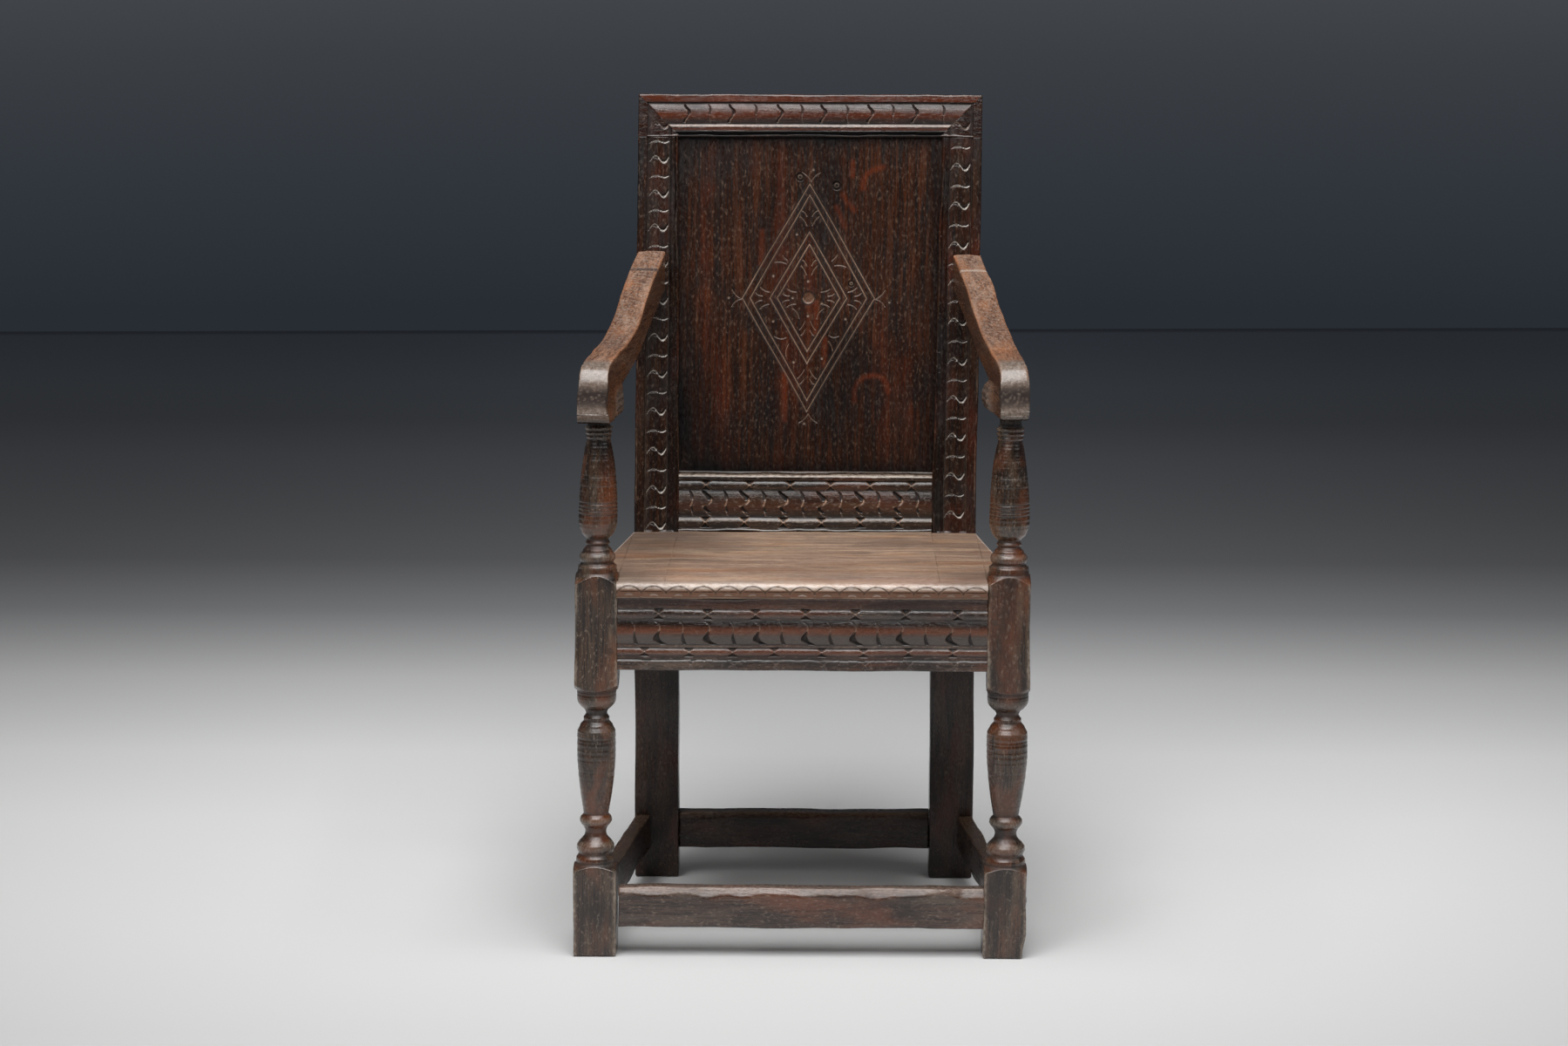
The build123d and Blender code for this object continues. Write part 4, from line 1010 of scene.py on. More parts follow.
# ---------------------------------------------------------------- plain rails
def plain_rail(node, word, start, end, out_face, top, height, thick, material, seed, bevel=0.0):
    """A sawn rail between two points in plan, with its face towards out_face."""
    start, end, out_face = (np.array(p, float) for p in (start, end, out_face))
    length = np.linalg.norm(end - start)
    direction = (end - start) / length
    section = box_section(22, 12, 8, 5)
    stations = steps(0, length, 2.5)
    radius = worn_radius(stations, 2.0, seed)
    down, out, along = blank(stations, section, height, thick, radius)
    ragged = waves(stack(along, down * 0, down * 0), 45, seed + 1)
    limit = bevel * (-1 + 0.25 * ragged) + 0.55 * down
    out = np.where((bevel > 0) & (down < 14), np.minimum(out, limit), out)
    flat = start + along[..., None] * direction + out[..., None] * out_face
    points = np.concatenate([flat, top - down[..., None]], -1)
    points += 0.4 * wander(points, 100, seed + 2)
    # the rubbed bevel is worn pale and carries a painted highlight
    rubbed_and_lit = groove(down - 0.45 * bevel, 7) * (bevel > 0) * (out > -thick / 2)
    marks = {
        "worn": clamp(0.45 * rubbed_and_lit + 0.3 * groove(down, 2.5)),
        "cut": 0.1 * rubbed_and_lit,
        "warm": 0.3 * rubbed_and_lit,
    }
    fibre = (down, out, along)
    finish_piece(node + "_" + word, points, fibre, marks, material, node)


def rails():
    """Stretchers and the plain seat rails."""
    for node, word, half, face_y, top, height, thick, material, seed, bevel in (
        ("front_stretcher", "worn", front_inner, front_y + 2, 87.0, 49.5, 26.0, rail_oak, 71, 5.0),
        ("rear_stretcher", "worn", back_inner, back_y + 6, 88.0, 48.0, 29.0, frame_oak, 75, 3.0),
        ("rear_seat_rail", "sawn", back_inner, back_y + 5, seat_bottom, 70.0, 28.0, frame_oak, 79, 0.0),
    ):
        plain_rail(
            node, word, (-half, face_y), (half, face_y), (0, -1), top, height, thick, material,
            seed, bevel,
        )
    side_rails = (
        ("side_seat_rail_", seat_bottom, 80.0, 25.0, 83), ("side_stretcher_", 86.0, 44.0, 20.0, 87),
    )
    for word, side in sides:
        start = (side * side_front_x, front_y + post_size)
        end = (side * side_rear_x, back_y)
        face = (side / side_slant, side_slope / side_slant)
        for part, top, height, thick, seed in side_rails:
            plain_rail(
                part + word, "sawn", start, end, face, top, height, thick, frame_oak, seed + side
            )


# ---------------------------------------------------------------- seat board
notch_gap = 0.3
nose_y = front_y - 7.0
behind_post = front_y + post_size + notch_gap
before_stile = back_y - notch_gap
rear_overhang = 24.0
lobe_pitch, lobe_start = 30.2, -196.0
lobe_spring, lobe_rise, lobe_foot = 15.4, 12.6, 16.9


def seat_plan():
    """Stations from left to right, which of them reach the nosing, and the front and depth there."""
    nose_x = front_inner - notch_gap
    tongue_x = back_inner - notch_gap
    half = joined(steps(0, tongue_x, 1.0), [tongue_x, tongue_x], steps(tongue_x, nose_x, 1.0))
    half = joined(half, [nose_x, nose_x], steps(nose_x, side_front_x - 0.5, 2.5))
    reach = np.concatenate([-half[:0:-1], half])
    from_middle = np.abs(np.arange(len(reach)) - (len(half) - 1))
    inside_tongue, inside_nose = (
        from_middle <= np.searchsorted(half, limit) for limit in (tongue_x, nose_x)
    )
    front = np.where(inside_nose, nose_y, behind_post)
    side_y = before_stile - np.clip((np.abs(reach) - side_rear_x) / side_slope, 0, None)
    return reach, inside_nose, front, np.where(inside_tongue, back_y + rear_overhang, side_y) - front


def nosing_lobes(down, along, on_nose):
    """The nosing's row of lobes, each an arch over a small crescent, and the hollow of each."""
    cell = (along - lobe_start) / lobe_pitch
    within = (cell - np.floor(cell) - 0.5) * 2
    bow = np.sqrt(np.clip(1 - (within * 0.98) ** 2, 0.02, 1))
    arch = lobe_spring - lobe_rise * bow
    slope = lobe_rise * 0.96 * within / bow / (lobe_pitch / 2)
    stroke = groove((down - arch) / np.sqrt(1 + slope**2), 1.2) * on_nose * (down < lobe_foot)
    crescent_down = 14.8 - 1.6 * (1 - (within * 3.2) ** 2)
    crescent = groove(down - crescent_down, 1.5) * (np.abs(within) < 0.34) * on_nose
    hollow = 0.5 * ((down > arch) * on_nose) * smooth(down - arch, 0, 2) * fade(down, 13, 17)
    return stroke, crescent, hollow


def seat():
    """The seat board with its carved nosing, notched round the posts and the back."""
    thick = seat_top - seat_bottom
    reach, inside_nose, front, depth = seat_plan()
    section = box_section(30, 64, 6, 7)
    radius = np.where(inside_nose, worn_radius(reach, 5.0, 91, 0.15), 1.2)
    radius = np.minimum(radius, depth / 3)
    down, out, along = blank(reach, section, thick, depth, radius)
    y = front[:, None] - out
    in_front = clamp(1 - (y - nose_y) / 14.0) * inside_nose[:, None]
    rolled = clamp(1 - (y - nose_y) / 11.0) ** 2 * (down < thick / 2) * inside_nose[:, None]
    z = seat_top - down - rolled
    on_nose = smooth(in_front, 0.58, 0.66) * (down < thick - 2.5)
    stroke, crescent, hollow = nosing_lobes(down, along, on_nose)
    y = y + (stroke * 1.1 + hollow) + 0.5 * crescent
    points = stack(along, y, z)
    points[..., 2] += 0.35 * waves(points, 160, 93)
    top = smooth(z, seat_top - 8, seat_top - 2)
    streaky = points * (0.35, 1.6, 1.0)
    left_rear = smooth(-along, 60, 190) * smooth(y, -120, 60)
    corner = smooth(np.abs(along), 150, 205) * fade(y, -190, -120)
    streaks = smooth(waves(streaky, 70, 95), 0.1, 1.0)
    shadowed = top * np.clip(0.1 * left_rear + 0.3 * corner + 0.16 * streaks, 0, 0.6)
    golden = top * 0.4 * smooth(waves(streaky, 110, 97), 0.0, 0.9) * fade(y, -60, 80)
    low_nose = smooth(down, 5.5, 8.5) * on_nose
    side_edge = side_rear_x + (before_stile - y) * side_slope - np.abs(along)
    worn = groove(down - 2.8, 5.6) * in_front + 0.25 * top * fade(y, -225, -140)
    worn = worn + 0.7 * fade(side_edge, 0.5, 2.5) * (y > behind_post) * top
    # the pale edge of the nosing is wear with a painted highlight, the greyer, glossier patches at the
    # left rear and the corners carry the painted grey sheen, and the lower nosing and the underside are
    # darker
    marks = {
        "cut": clamp(1.3 * stroke),
        "worn": clamp(worn),
        "line": 0.9 * crescent,
        "tone": clamp(0.7 * low_nose + 0.8 * (down > thick - 1) + shadowed),
        "warm": clamp(low_nose + golden),
        "gloss": top * clamp(0.42 * left_rear + 0.2 * corner + 0.12 * smooth(y, -60, 120)),
    }
    piece = finish_piece(
        "seat_board_worn", points, (y, z, along), marks, seat_oak, "seat_board"
    )
    # the notch walls stay crisp: they lie between two stations at the same place
    around = len(section[0])
    for step in np.flatnonzero(np.diff(reach) < 1e-6):
        for k in range(step * around, (step + 1) * around):
            piece.data.polygons[k].use_smooth = False
    shape = bmesh.new()
    shape.from_mesh(piece.data)
    bmesh.ops.remove_doubles(shape, verts=shape.verts, dist=1e-6)
    shape.to_mesh(piece.data)
    shape.free()


# ---------------------------------------------------------------- arms
# An arm is drawn from the side: s runs back from the front post's centre along the arm.
arm_width = 36.5
arm_x = post_centre_x - 2.5
arm_base = 668.0
arm_rear = (back_y + (841.0 - knee_height) * tan(rake) - post_centre_y) * side_slant
arm_top = (
    (-52.0, 733.5), (-27.0, 740.0), (33.0, 747.0), (103.0, 756.0), (183.0, 773.0),
    (223.0, 786.5), (258.0, 800.5), (303.0, 815.0), (353.0, 828.5), (410.0, 842.0),
)
arm_under = (
    (50.0, 702.0), (90.0, 710.5), (135.0, 720.5), (180.0, 732.0), (224.0, 745.0),
    (300.0, 765.0), (410.0, 791.0),
)
scroll_centre_z, scroll_radius = 686.0, 17.0
scroll_swell = 6.5  # how far the scroll behind the post stands out at each side
reed_pitch = 9.0
kerf_s = 341.0  # a saw cut across the left arm, and a pale scratch across the right one
arm_station = 1.3


def arm_profile(sag, top_lift, base_lift, drop):
    """Points of the top of an arm, and those of its underside that lie opposite to them."""
    rear = steps(arm_rear + 2, 50, arm_station)
    droop = sag * bell(rear, 205, 120)
    tops = [stack(rear, through(arm_top, rear) - droop)]
    unders = [stack(rear, through(arm_under, rear) - droop)]
    # the scroll behind the post, in two arcs
    lobe = np.concatenate([
        arc((44.0, scroll_centre_z), scroll_radius, 80, -30, 16), arc((42.0, 682.5), 14.5, -40, -90, 8)
    ])
    over = np.linspace(48.5, 34, len(lobe))
    tops.append(stack(over, through(arm_top, over)))
    unders.append(lobe)
    # the flat base that sits on the post
    over, below = np.linspace(33, -29, 56), np.linspace(40, -57, 56)
    tops.append(stack(over, through(arm_top, over)))
    unders.append(stack(below, 0 * below + arm_base))
    # the front: a roll at the top, a hollow, and a small toe at the foot
    roll = arc((-28.5, 710.0), 29.4, 90, 196, 40)[1:]
    flare = eased_curve(np.linspace(0, 1, 16)[1:], (-56.8, -56.8, -57.4, -58.8))
    down = np.linspace(roll[-1][1], 679.0, 16)[1:]
    tops.append(np.concatenate([roll, stack(flare, down)]))
    toe = arc((-53.2, 674.0), 6.0, 270, 182, 12)[1:]
    rise = np.linspace(0, 1, len(tops[-1]) - len(toe))[:, None]
    unders.append(np.concatenate([toe, toe[-1] + rise * (np.array([-58.9, 678.6]) - toe[-1])]))
    top, under = np.concatenate(tops), np.concatenate(unders)
    top[:, 1] += top_lift * fade(top[:, 0], 60, 200) - drop * smooth(top[:, 0], 200, 400)
    under[:, 1] += base_lift * fade(under[:, 0], 60, 200)
    return top, under


def arm(name, side, sag, top_lift, base_lift, drop):
    """An arm that sweeps down from the back and rolls over the front post."""
    top, under = arm_profile(sag, top_lift, base_lift, drop)
    high = np.linalg.norm(top - under, axis=1)
    upward = (top - under) / high[:, None]
    section = box_section(26, 30, 10, 5)
    line = np.arange(len(top)) * arm_station
    radius = np.minimum(worn_radius(line, 1.9, 101 + side, 0.35), high / 2.2)
    wide = (arm_width - 2.5 * bell(top[:, 0], 20, 90))[:, None]
    across, out, _ = blank(line, section, wide, high, radius)
    middle = across - wide / 2
    share = np.abs(2 * middle / wide)
    out = out - 0.9 * share**4 * np.exp(np.minimum(out + 2, 0) / 6.0)
    s = top[:, None, 0] + out * upward[:, None, 0]
    z = top[:, None, 1] + out * upward[:, None, 1]
    # the scroll behind the post stands out at both sides and is reeded
    on_side = (np.abs(section[2] - 1) < 0.6) | (np.abs(section[2] - 3) < 0.6)
    eye = clamp(1 - ((z - scroll_centre_z - base_lift) / scroll_radius) ** 2) ** 0.5
    boss = smooth(s, 4, 13) * fade(s, 50, 63) * eye * on_side
    reeds = smooth(np.cos((z - arm_base - base_lift) * 2 * pi / reed_pitch), 0.35, 1.0) * boss
    swell = scroll_swell + 3.5 * side
    middle = middle * (1 + (swell * boss - 1.6 * reeds) / (wide / 2))
    if side < 0:  # the left knuckle is a little twisted, and wider at its foot
        at_front = fade(s, -30, 20)
        spread = fade(z, 672, 692) * at_front * clamp(-2 * middle / wide)
        middle = middle + 2.4 * (fade(z, 700, 716) * at_front) - 4.5 * spread
    kerf = smooth(groove(s - kerf_s, 6.0), 0.05, 0.5) * (out > -6)
    z = z - 0.5 * kerf * (side < 0)
    ax, ay = 1 / side_slant, side_slope / side_slant
    front_drift = post_drift(700.0, side)
    x = side * (arm_x - s * ay + middle * ax) + front_drift + (4.6 - front_drift) * s / 400
    y = post_centre_y + s * ax + middle * ay
    points = stack(x, y, z)
    points += 0.35 * wander(points, 80, 103 + side)
    topside = np.maximum(np.exp(np.minimum(out, 0) / 2.5), smooth(-s, 51, 56))
    knuckle = fade(s, -34, -8) * topside
    speckle = waves(points * (1, 1, 1.2), 5.0, 107 + side, 40)
    # a painted band of shade across the knuckle's hollow, broken by specks
    shaded_band = smooth(groove(z - 701.0 - base_lift / 2, 17.0), 0, 0.8) * (s < -40)
    shaded_band = shaded_band * smooth(speckle, -1.6, 0.0)
    edge = smooth(share, 0.8, 0.97) * topside
    scale_worn = 0.55 + 0.45 * smooth(speckle, -0.4, 0.9)
    top_worn = 0.3 * topside * (1 - edge) * smooth(s, 20, 90) * smooth(speckle, -0.6, 0.9)
    knuckle_wear_and_sheen = 0.5 * knuckle * scale_worn * (1 - shaded_band) * smooth(z, 671, 682)
    side_dark = 0.55 * (1 - topside) * smooth(-out, 1, 4) * (1 - 0.7 * boss)
    side_warm = 0.4 * (1 - topside) * np.exp(np.minimum(out + 2, 0) / 5)
    # the knuckle and the scroll are paled and greyed as a painted sheen over their wear; the foot of the
    # knuckle and the sides are toned darker
    marks = {
        "worn": clamp(top_worn + knuckle_wear_and_sheen + 0.5 * boss * scale_worn),
        "cut": clamp(kerf * (side < 0) + 0.7 * reeds + shaded_band),
        "line": 0.8 * kerf * (side > 0),
        "gloss": clamp(knuckle + boss),
        "tone": clamp(side_dark + 0.6 * shaded_band + 0.35 * knuckle * fade(z, 673, 690)),
        "warm": clamp((0.35 * edge + side_warm) * (1 - knuckle)),
    }
    finish_piece(name + "_worn", points, (middle, z, s), marks, arm_oak, name)


# ---------------------------------------------------------------- panel
lozenge_centre = (0.2, 352.6)
# Half widths and half heights: an outer pair of lozenges and an inner one.
lozenges = ((88.0, 150.0), (77.5, 135.5), (51.0, 87.0), (41.5, 71.0))
# Leaf strokes near a point of a lozenge: start and end, each as (aside, inward) from it.
upright_leaves = (((10.5, 21.0), (3.6, 28.0)), ((12.5, 28.5), (3.6, 40.0)))
level_leaves = (((7.0, 7.0), (2.8, 16.0)), ((14.0, 13.5), (8.0, 25.0)))
# Loose strokes and punched dots, from the centre of the lozenges.
loose_strokes = (
    ((-45, 47), (-37, 48.5), (-30, 45)), ((34, 43), (43, 44.5), (49, 41)),
    ((-44, -51.5), (-35, -57.5), (-28, -53)), ((28.6, -49), (34, -54), (42, -50)),
    ((-35, 56), (-33, 52), (-29, 50)), ((37, 57), (34, 52), (30, 49)),
    ((-20.6, -14), (-13, -19), (-11.4, -27.5)), ((21, -14), (13, -19), (11.8, -27.5)),
    ((-24.6, -62), (-30, -70), (-28, -78)), ((28.6, -57), (33, -62), (34, -69)),
)
dots = (
    (-47, 29), (-16.6, 83.6), (-46, -31), (-18, -86), (20, -80), (50, -27.5), (-1, 22), (0, -24),
    (-21, 0), (18, -7), (5, 169), (-3, -166), (-106, 0.6), (108, -5),
)
rosette_radius = 8.5
# Small round plugs in the board: across, up and radius.
plugs = ((-12.7, 511.4, 5.6), (36.0, 500.1, 6.0), (56.7, 371.6, 4.2))
# Warm figure in the board: streaks and the rings round two knots.
flames = (
    ((57, 531), (57, 522), (56.5, 513)), ((71, 496), (68, 520), (97, 524)),
    ((44, 488), (50, 478), (59, 467)), ((36, 472), (40, 462), (46, 447)),
    ((64, 215), (60, 250), (88, 250)), ((88, 250), (106, 250), (108, 228)),
    ((24, 298), (24, 280), (23, 262)), ((10, 347), (12, 328), (11, 306)),
    ((-62, 440), (-61, 420), (-63, 396)), ((-30, 250), (-31, 230), (-29, 190)),
)
panel_edge_in_groove = 6.0
panel_face_depth = 8.0
panel_thickness = 12.0
crack_top = 486


def bent(start, middle, end, count=4):
    """A short curved stroke as straight lengths."""
    t = np.linspace(0, 1, count + 1)[:, None]
    line = (1 - t) ** 2 * np.array(start) + 2 * t * (1 - t) * np.array(middle) + t**2 * np.array(end)
    return list(zip(line[:-1], line[1:]))


def ring_lines(half_width, half_height):
    """The four sides of a lozenge."""
    cx, cy = lozenge_centre
    tips = [(cx, cy + half_height), (cx + half_width, cy), (cx, cy - half_height), (cx - half_width, cy)]
    return [(tips[k], tips[(k + 1) % 4]) for k in range(4)]


def leaf_strokes(half_width, half_height, size):
    """Leaves inside the four points of a lozenge."""
    centre = np.array(lozenge_centre)
    strokes = []
    for half, leaves, bow_aside, bow_out, order in (
        (half_height, upright_leaves, 0.6, 2.2, 1), (half_width, level_leaves, 1.8, 1.8, -1),
    ):
        for wing, end, leaf in product((-1, 1), (-1, 1), leaves):
            (aside, inward), (aside_end, inward_end) = leaf
            start = centre + (wing * aside * size, end * (half - inward))[::order]
            stop = centre + (wing * aside_end, end * (half - inward_end))[::order]
            turn = (start + stop) / 2 + (-wing * bow_aside, end * bow_out)[::order]
            strokes += bent(start, turn, stop)
    return strokes


def panel_strokes():
    """Every cut line of the panel: two double lozenges, leaves, and a fork beyond each point."""
    cx, cy = lozenge_centre
    long_lines = [line for sizes in lozenges for line in ring_lines(*sizes)]
    small = leaf_strokes(*lozenges[1], 1.0) + leaf_strokes(*lozenges[3], 0.85)
    for stroke in loose_strokes:
        small += bent(*[(cx + x, cy + y) for x, y in stroke])
    for wing, end in product((-1, 1), (-1, 1)):
        base = (cx + 2.0, cy + end * 153)
        small += bent(base, (cx + 2 + wing * 3, cy + end * 160), (cx + 2 + wing * 12, cy + end * 165))
        base = (cx + end * 89.0, cy - 1)
        small += bent(base, (cx + end * 97, cy + wing * 2), (cx + end * 102, cy + wing * 11))
    return long_lines, small


def nearest(x, distances):
    """The least of many distances, far away where there is none."""
    found = np.full(x.shape, 1e3)
    for distance in distances:
        found = np.minimum(found, distance)
    return found


def gap(x, up, strokes):
    """Distance of points from the nearest stroke."""
    return nearest(x, (segment_distance(x, up, start, end) for start, end in strokes))


def closed_board(name, shape, points, marks, inward):
    """A mesh of a carved face, with flat edges and a plain rear that lies inward from it."""
    faces = [[v.index for v in f.verts] for f in shape.faces]
    rim = []
    for edge in shape.edges:
        if len(edge.link_faces) == 1:
            corner = edge.link_loops[0]
            rim.append((corner.vert.index, corner.link_loop_next.vert.index))
    around = sorted({k for pair in rim for k in pair})
    behind = {k: len(points) + number for number, k in enumerate(around)}
    centre = len(points) + len(around)
    rear = points[around] + inward
    points = np.concatenate([points, rear, [rear.mean(0)]])
    full = {}
    for label, values in marks.items():
        rest = values[around] if label == "fibre" else np.zeros(len(around))
        full[label] = np.concatenate([values, rest, [rest.mean(0)]])
    wall = [(b, a, behind[a], behind[b]) for a, b in rim]
    cap = [(behind[b], behind[a], centre) for a, b in rim]
    quads = [f for f in faces if len(f) == 4] + wall
    fans = [f for f in faces if len(f) == 3] + cap
    piece = write_mesh(name, points, np.array(quads), np.array(fans), full)
    polygons = piece.data.polygons
    for end, count in ((len(quads), len(wall)), (len(polygons), len(cap))):
        for k in range(end - count, end):
            polygons[k].use_smooth = False
    return piece


def panel():
    """The back panel: a flat oak board with incised lozenges."""
    half_low = back_inner + panel_edge_in_groove
    half_high = half_low + stile_width - stile_top_width
    low, high = lower_rail_top - panel_edge_in_groove, crest_bottom + panel_edge_in_groove
    long_lines, small = panel_strokes()
    figure = [piece for flame in flames for piece in bent(*flame)]
    cx, cy = lozenge_centre
    shape = bmesh.new()
    bmesh.ops.create_grid(shape, x_segments=88, y_segments=112, size=0.5)

    def corners():
        """Where the grid's corners lie, across and up the board."""
        share = np.array([v.co[:] for v in shape.verts])
        up = low + (share[..., 1] + 0.5) * (high - low)
        return share[..., 0] * 2 * (half_low + (half_high - half_low) * (up - low) / (high - low)), up

    def spots(x, up):
        """Distance of points from the nearest punched dot."""
        return nearest(x, (np.hypot(x - cx - dot_x, up - cy - dot_y) for dot_x, dot_y in dots))

    for reach in (5.0, 3.0, 1.8):  # a finer grid near whatever is cut
        x, up = corners()
        near = (gap(x, up, long_lines + small) < reach) | (spots(x, up) < reach + 1)
        near |= np.abs(np.hypot(x - cx, up - cy) - rosette_radius) < reach
        for plug_x, plug_up, plug_r in plugs:
            near |= np.hypot(x - plug_x, up - plug_up) < plug_r + reach
        if reach > 4:
            near |= gap(x, up, figure) < reach
        chosen = [f for f in shape.faces if any(near[v.index] for v in f.verts)]
        edges = list({e for f in chosen for e in f.edges})
        bmesh.ops.subdivide_edges(shape, edges=edges, cuts=1, use_grid_fill=True)
        shape.verts.index_update()
    bmesh.ops.triangulate(shape, faces=[f for f in shape.faces if len(f.verts) > 4])
    shape.verts.index_update()
    x, up = corners()
    line_gap, small_gap, dot_gap = gap(x, up, long_lines), gap(x, up, small), spots(x, up)
    from_centre = np.hypot(x - cx, up - cy)
    dish = fade(from_centre, 5.5, 9.2)
    cut = smooth(np.maximum(groove(line_gap, 1.6), 0.8 * groove(small_gap, 1.3)), 0, 1)
    punched = fade(dot_gap, 0.8, 2.2)
    out = -panel_face_depth - 1.2 * cut - 1.6 * dish - 0.9 * punched
    plugged = np.zeros_like(x)
    ring_highlight = np.zeros_like(x)
    for plug_x, plug_up, plug_r in plugs:
        reach = np.hypot(x - plug_x, up - plug_up)
        plugged = np.maximum(plugged, fade(reach, plug_r - 1.5, plug_r + 1.0))
        # a painted highlight ring on each plug
        ring_highlight = np.maximum(ring_highlight, groove(reach - 0.45 * plug_r, 1.2))
        out = out - 2.4 * groove(reach - 0.8 * plug_r, 0.3 * plug_r)
    crack_waver = 0.8 * waves(stack(up * 0, up, up * 0), 40, 7)
    crack_x = 20.5 - 5.5 * smooth(490 - up, 60, 360) + crack_waver
    crack = groove(x - crack_x, 1.1) * (up < crack_top) * (0.55 + 0.45 * smooth(up, 400, 470))
    out = out - 0.8 * crack
    points = on_back(x, out, up)
    points += 0.5 * wander(points, 150, 121)
    inner_edge = half_low - panel_edge_in_groove
    edge_gap = np.minimum(up - lower_rail_top, crest_bottom - up)
    edge_gap = np.minimum(inner_edge - np.abs(x), edge_gap)
    offset = chance.uniform(-3000, 3000, 3)
    stain = smooth(waves(stack(x, up, 0 * x) * (1.0, 0.4, 1), 70, 131), 0.2, 1.2)
    # painted shade on the rosette's rim and beside the lozenge lines; painted highlights with dust on
    # the lit walls of the cuts, the punched dots, the rings of the plugs and the lower rim of the
    # rosette; the board is darker near the frame and towards the bottom, with stains
    shaded_sides = 0.9 * groove(from_centre - 8.8, 1.4) + 0.5 * groove(line_gap - 1.9, 1.1)
    lit_rim = 0.7 * groove(from_centre - 7.2, 1.0) * (up < cy)
    marks = {
        "fibre": (stack(x, out, up) + offset) * MM,
        "cut": clamp(0.9 * crack + shaded_sides + 0.9 * plugged + 0.6 * groove(dot_gap - 2.2, 0.9)),
        "line": clamp(0.8 * smooth(cut, 0.25, 0.9) + 0.8 * punched + 0.5 * ring_highlight + lit_rim),
        "worn": 0.3 * dish,
        "warm": 0.3 * fade(gap(x, up, figure), 0.0, 6.0),
        "tone": clamp(0.55 * fade(edge_gap, -2, 24) + 0.3 * stain + 0.3 * fade(up, 150, 300)),
        "gloss": 0 * x,
    }
    inward = on_back(0.0, -panel_thickness, 99.0) - on_back(0.0, 0.0, 99.0)
    piece = closed_board("back_panel_carved", shape, points, marks, inward)
    shape.free()
    piece.data.materials.append(panel_oak)
    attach(piece, "root")
    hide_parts("back_panel")


for word, side in sides:
    stile("back_post_" + word, side)
    front_post("front_post_" + word, side)
    arm("arm_" + word, side, -side * 6.0, 2.0 + side, 5.0 + side * 3.0, 2.3 + side * 2.3)
crest()
lower_rail()
front_rail()
rails()
seat()
panel()


# ---------------------------------------------------------------- studio
def camera():
    """The photograph's view, worked out from about forty edges and corners of the chair."""
    yaw, pitch, roll = radians(-0.74245), radians(8.78286), radians(0.1301)
    forward = np.array([sin(yaw) * cos(pitch), cos(yaw) * cos(pitch), -sin(pitch)])
    level = np.array([cos(yaw), -sin(yaw), 0.0])
    upright = np.cross(level, forward)
    right = cos(roll) * level + sin(roll) * upright
    up = -sin(roll) * level + cos(roll) * upright
    data = bpy.data.cameras.new("camera")
    data.lens = 83.57
    data.sensor_width = 36.0
    data.clip_end = 100.0
    made = placed("camera", data)
    place = Matrix([[right[k], up[k], -forward[k], 0] for k in range(3)] + [[0, 0, 0, 1]])
    place.translation = (0.034405, -4.605294, 1.221941)
    made.matrix_world = place
    bpy.context.scene.camera = made


def light(name, place, aim, size, power):
    """A large soft light."""
    data = bpy.data.lights.new(name, "AREA")
    data.shape = "RECTANGLE"
    data.size, data.size_y = size
    data.energy = power
    made = placed(name, data)
    made.location = place
    direction = Vector(aim) - Vector(place)
    made.rotation_euler = direction.to_track_quat("-Z", "Y").to_euler()


floor_rear = 7.55  # metres; the floor's other sides lie a metre further out
floor_half = floor_rear + 1.0
rear_turn = tan(radians(3.4))  # the rear edge of the floor stands further off at the right
# The floor's colours paint the fall of light over it: brightest just behind the chair, darker in front
# and far behind.
floor_stops = (  # y in metres, colour
    (-1.5, (172, 172, 172)), (-0.56, (195, 195, 195)), (-0.25, (208, 208, 208)),
    (0.1, (221, 221, 221)), (0.5, (233, 233, 233)), (0.95, (238, 238, 238)),
    (1.55, (220, 220, 221)), (2.2, (162, 163, 165)), (2.8, (130, 131, 134)),
    (3.5, (126, 128, 132)), (4.4, (124, 127, 133)), (5.1, (114, 119, 127)),
    (5.9, (118, 125, 134)), (7.1, (113, 122, 135)),
)
backdrop_stops = (  # from below the horizon up to it
    (0.065, (40, 45, 51)), (0.42, (49, 54, 60)), (0.75, (59, 62, 67)), (0.9, (65, 68, 73)),
)


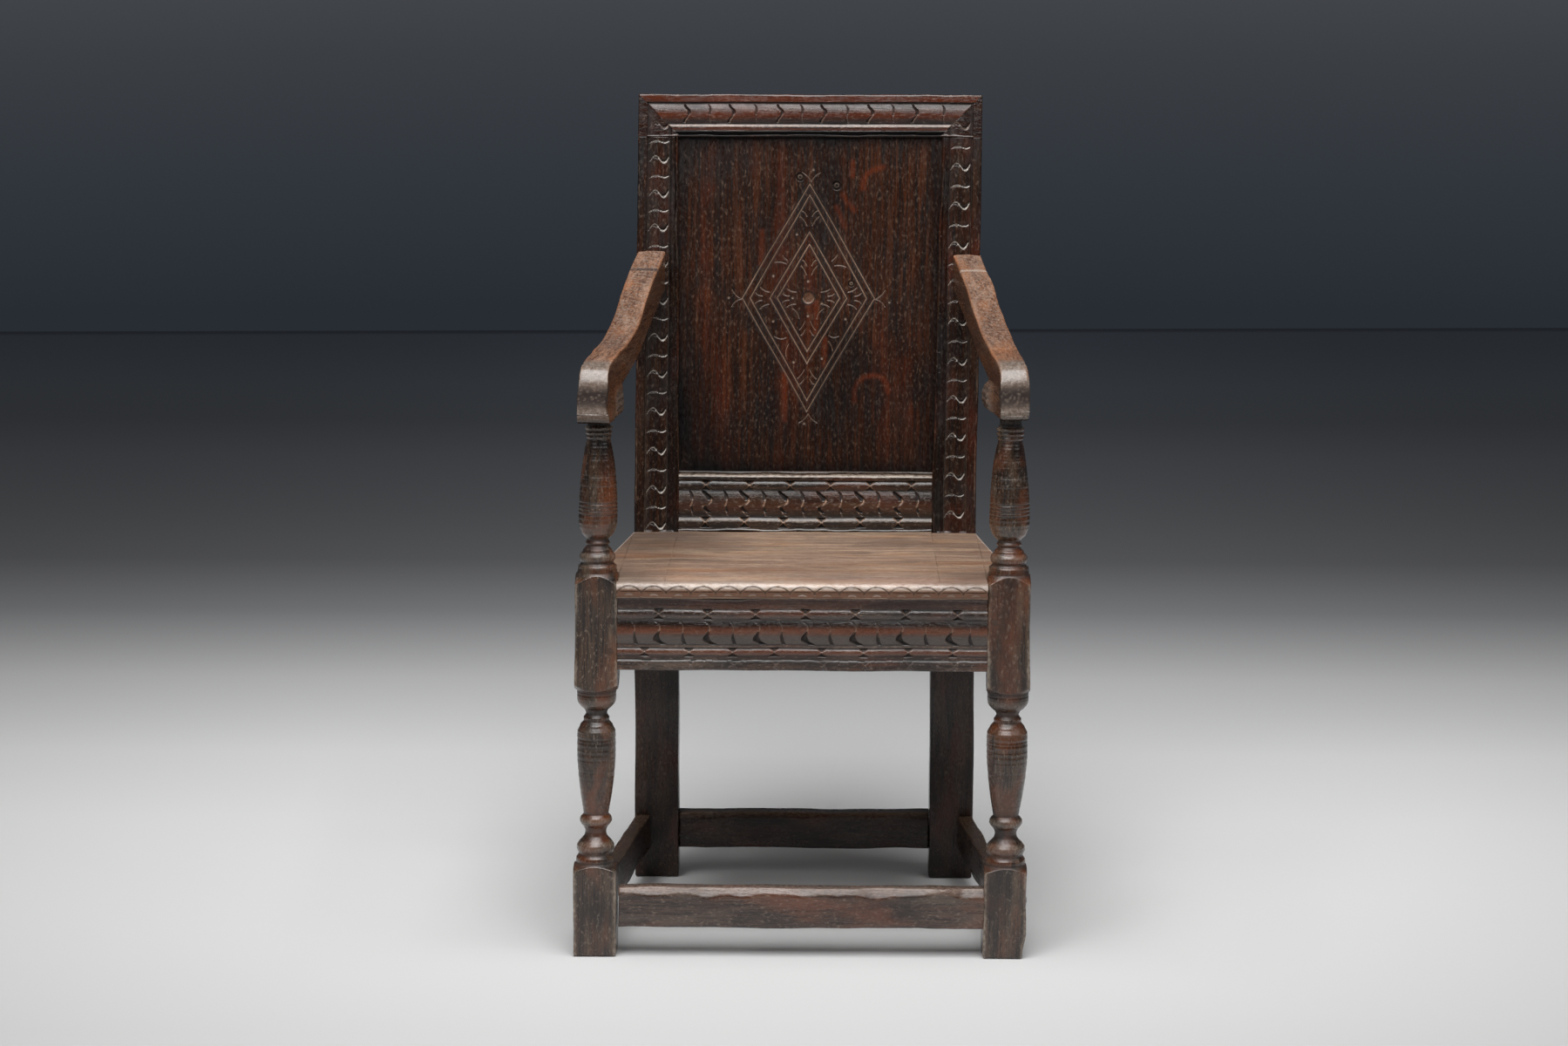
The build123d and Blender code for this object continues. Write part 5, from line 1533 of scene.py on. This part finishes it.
def floor():
    """A pale floor with a painted pool of light that falls away into the dark, cut off straight at the
    rear.
    """
    rear_corners = [(x, floor_rear + x * rear_turn, 0) for x in (floor_half, -floor_half)]
    corners = [(-floor_half, -floor_half, 0), (floor_half, -floor_half, 0), *rear_corners]
    mesh = bpy.data.meshes.new("floor")
    mesh.from_pydata(corners, [], [(0, 1, 2, 3)])
    made = placed("floor", mesh)
    material = bpy.data.materials.new("floor")
    nodes = Nodes(material)
    x, y, _ = nodes.axes(nodes.add("TexCoord", None, "Object"))
    first, last = floor_stops[0][0], floor_stops[-1][0]
    along = nodes.calc("DIVIDE", nodes.calc("SUBTRACT", y, first), last - first)
    painted_light_pool = nodes.ramp(along, [((away - first) / (last - first), grey) for away, grey in floor_stops])
    aside = nodes.calc("ABSOLUTE", nodes.calc("SUBTRACT", x, 0.05), 0.0)
    slanted = nodes.calc("SUBTRACT", y, nodes.calc("MULTIPLY", x, rear_turn))
    # painted fall of light towards the sides, and the dark rear edge
    colour = nodes.blend(painted_light_pool, [
        (nodes.remap(aside, 0.3, 1.9, 0.0, 0.17), rgb((0, 0, 0))),
        (nodes.remap(slanted, floor_rear - 0.16, floor_rear - 0.05), rgb((84, 90, 101))),
    ])
    inputs = {"Base Color": colour, "Roughness": 0.9, "Specular IOR Level": 0.1}
    nodes.finish("Material", Surface=nodes.add("BsdfPrincipled", inputs))
    mesh.materials.append(material)


def world():
    """Soft grey light all round, and a dark backdrop where it is seen."""
    made = bpy.data.worlds.new("world")
    bpy.context.scene.world = made
    nodes = Nodes(made)
    upward = nodes.axes(nodes.add("TexCoord", None, "Generated"))[2]
    backdrop = nodes.ramp(nodes.remap(upward, -0.1, 0.0, ease="LINEAR"), backdrop_stops)
    rays = nodes.add("LightPath", None, "all")
    seen = nodes.calc("MAXIMUM", rays["Is Camera Ray"], rays["Is Glossy Ray"])
    seen = nodes.calc("MAXIMUM", seen, rays["Is Transmission Ray"])
    ambient = nodes.add("Background", {"Color": (1, 1, 1, 1), "Strength": 0.1})
    shown = nodes.add("Background", {"Color": backdrop, "Strength": 1.0})
    nodes.finish("World", Surface=nodes.add("MixShader", {0: seen, 1: ambient, 2: shown}))


camera()
floor()
world()
light("overhead", (-0.1, -1.35, 2.9), (0.0, -0.6, 0.5), (2.4, 3.0), 138)
light("front_left", (-2.6, -3.4, 2.6), (0.0, 0.0, 0.5), (1.6, 1.8), 12)
light("right", (2.8, -1.6, 2.2), (0.0, 0.0, 0.5), (1.2, 1.6), 9)
bpy.context.scene.view_settings.view_transform = "Standard"

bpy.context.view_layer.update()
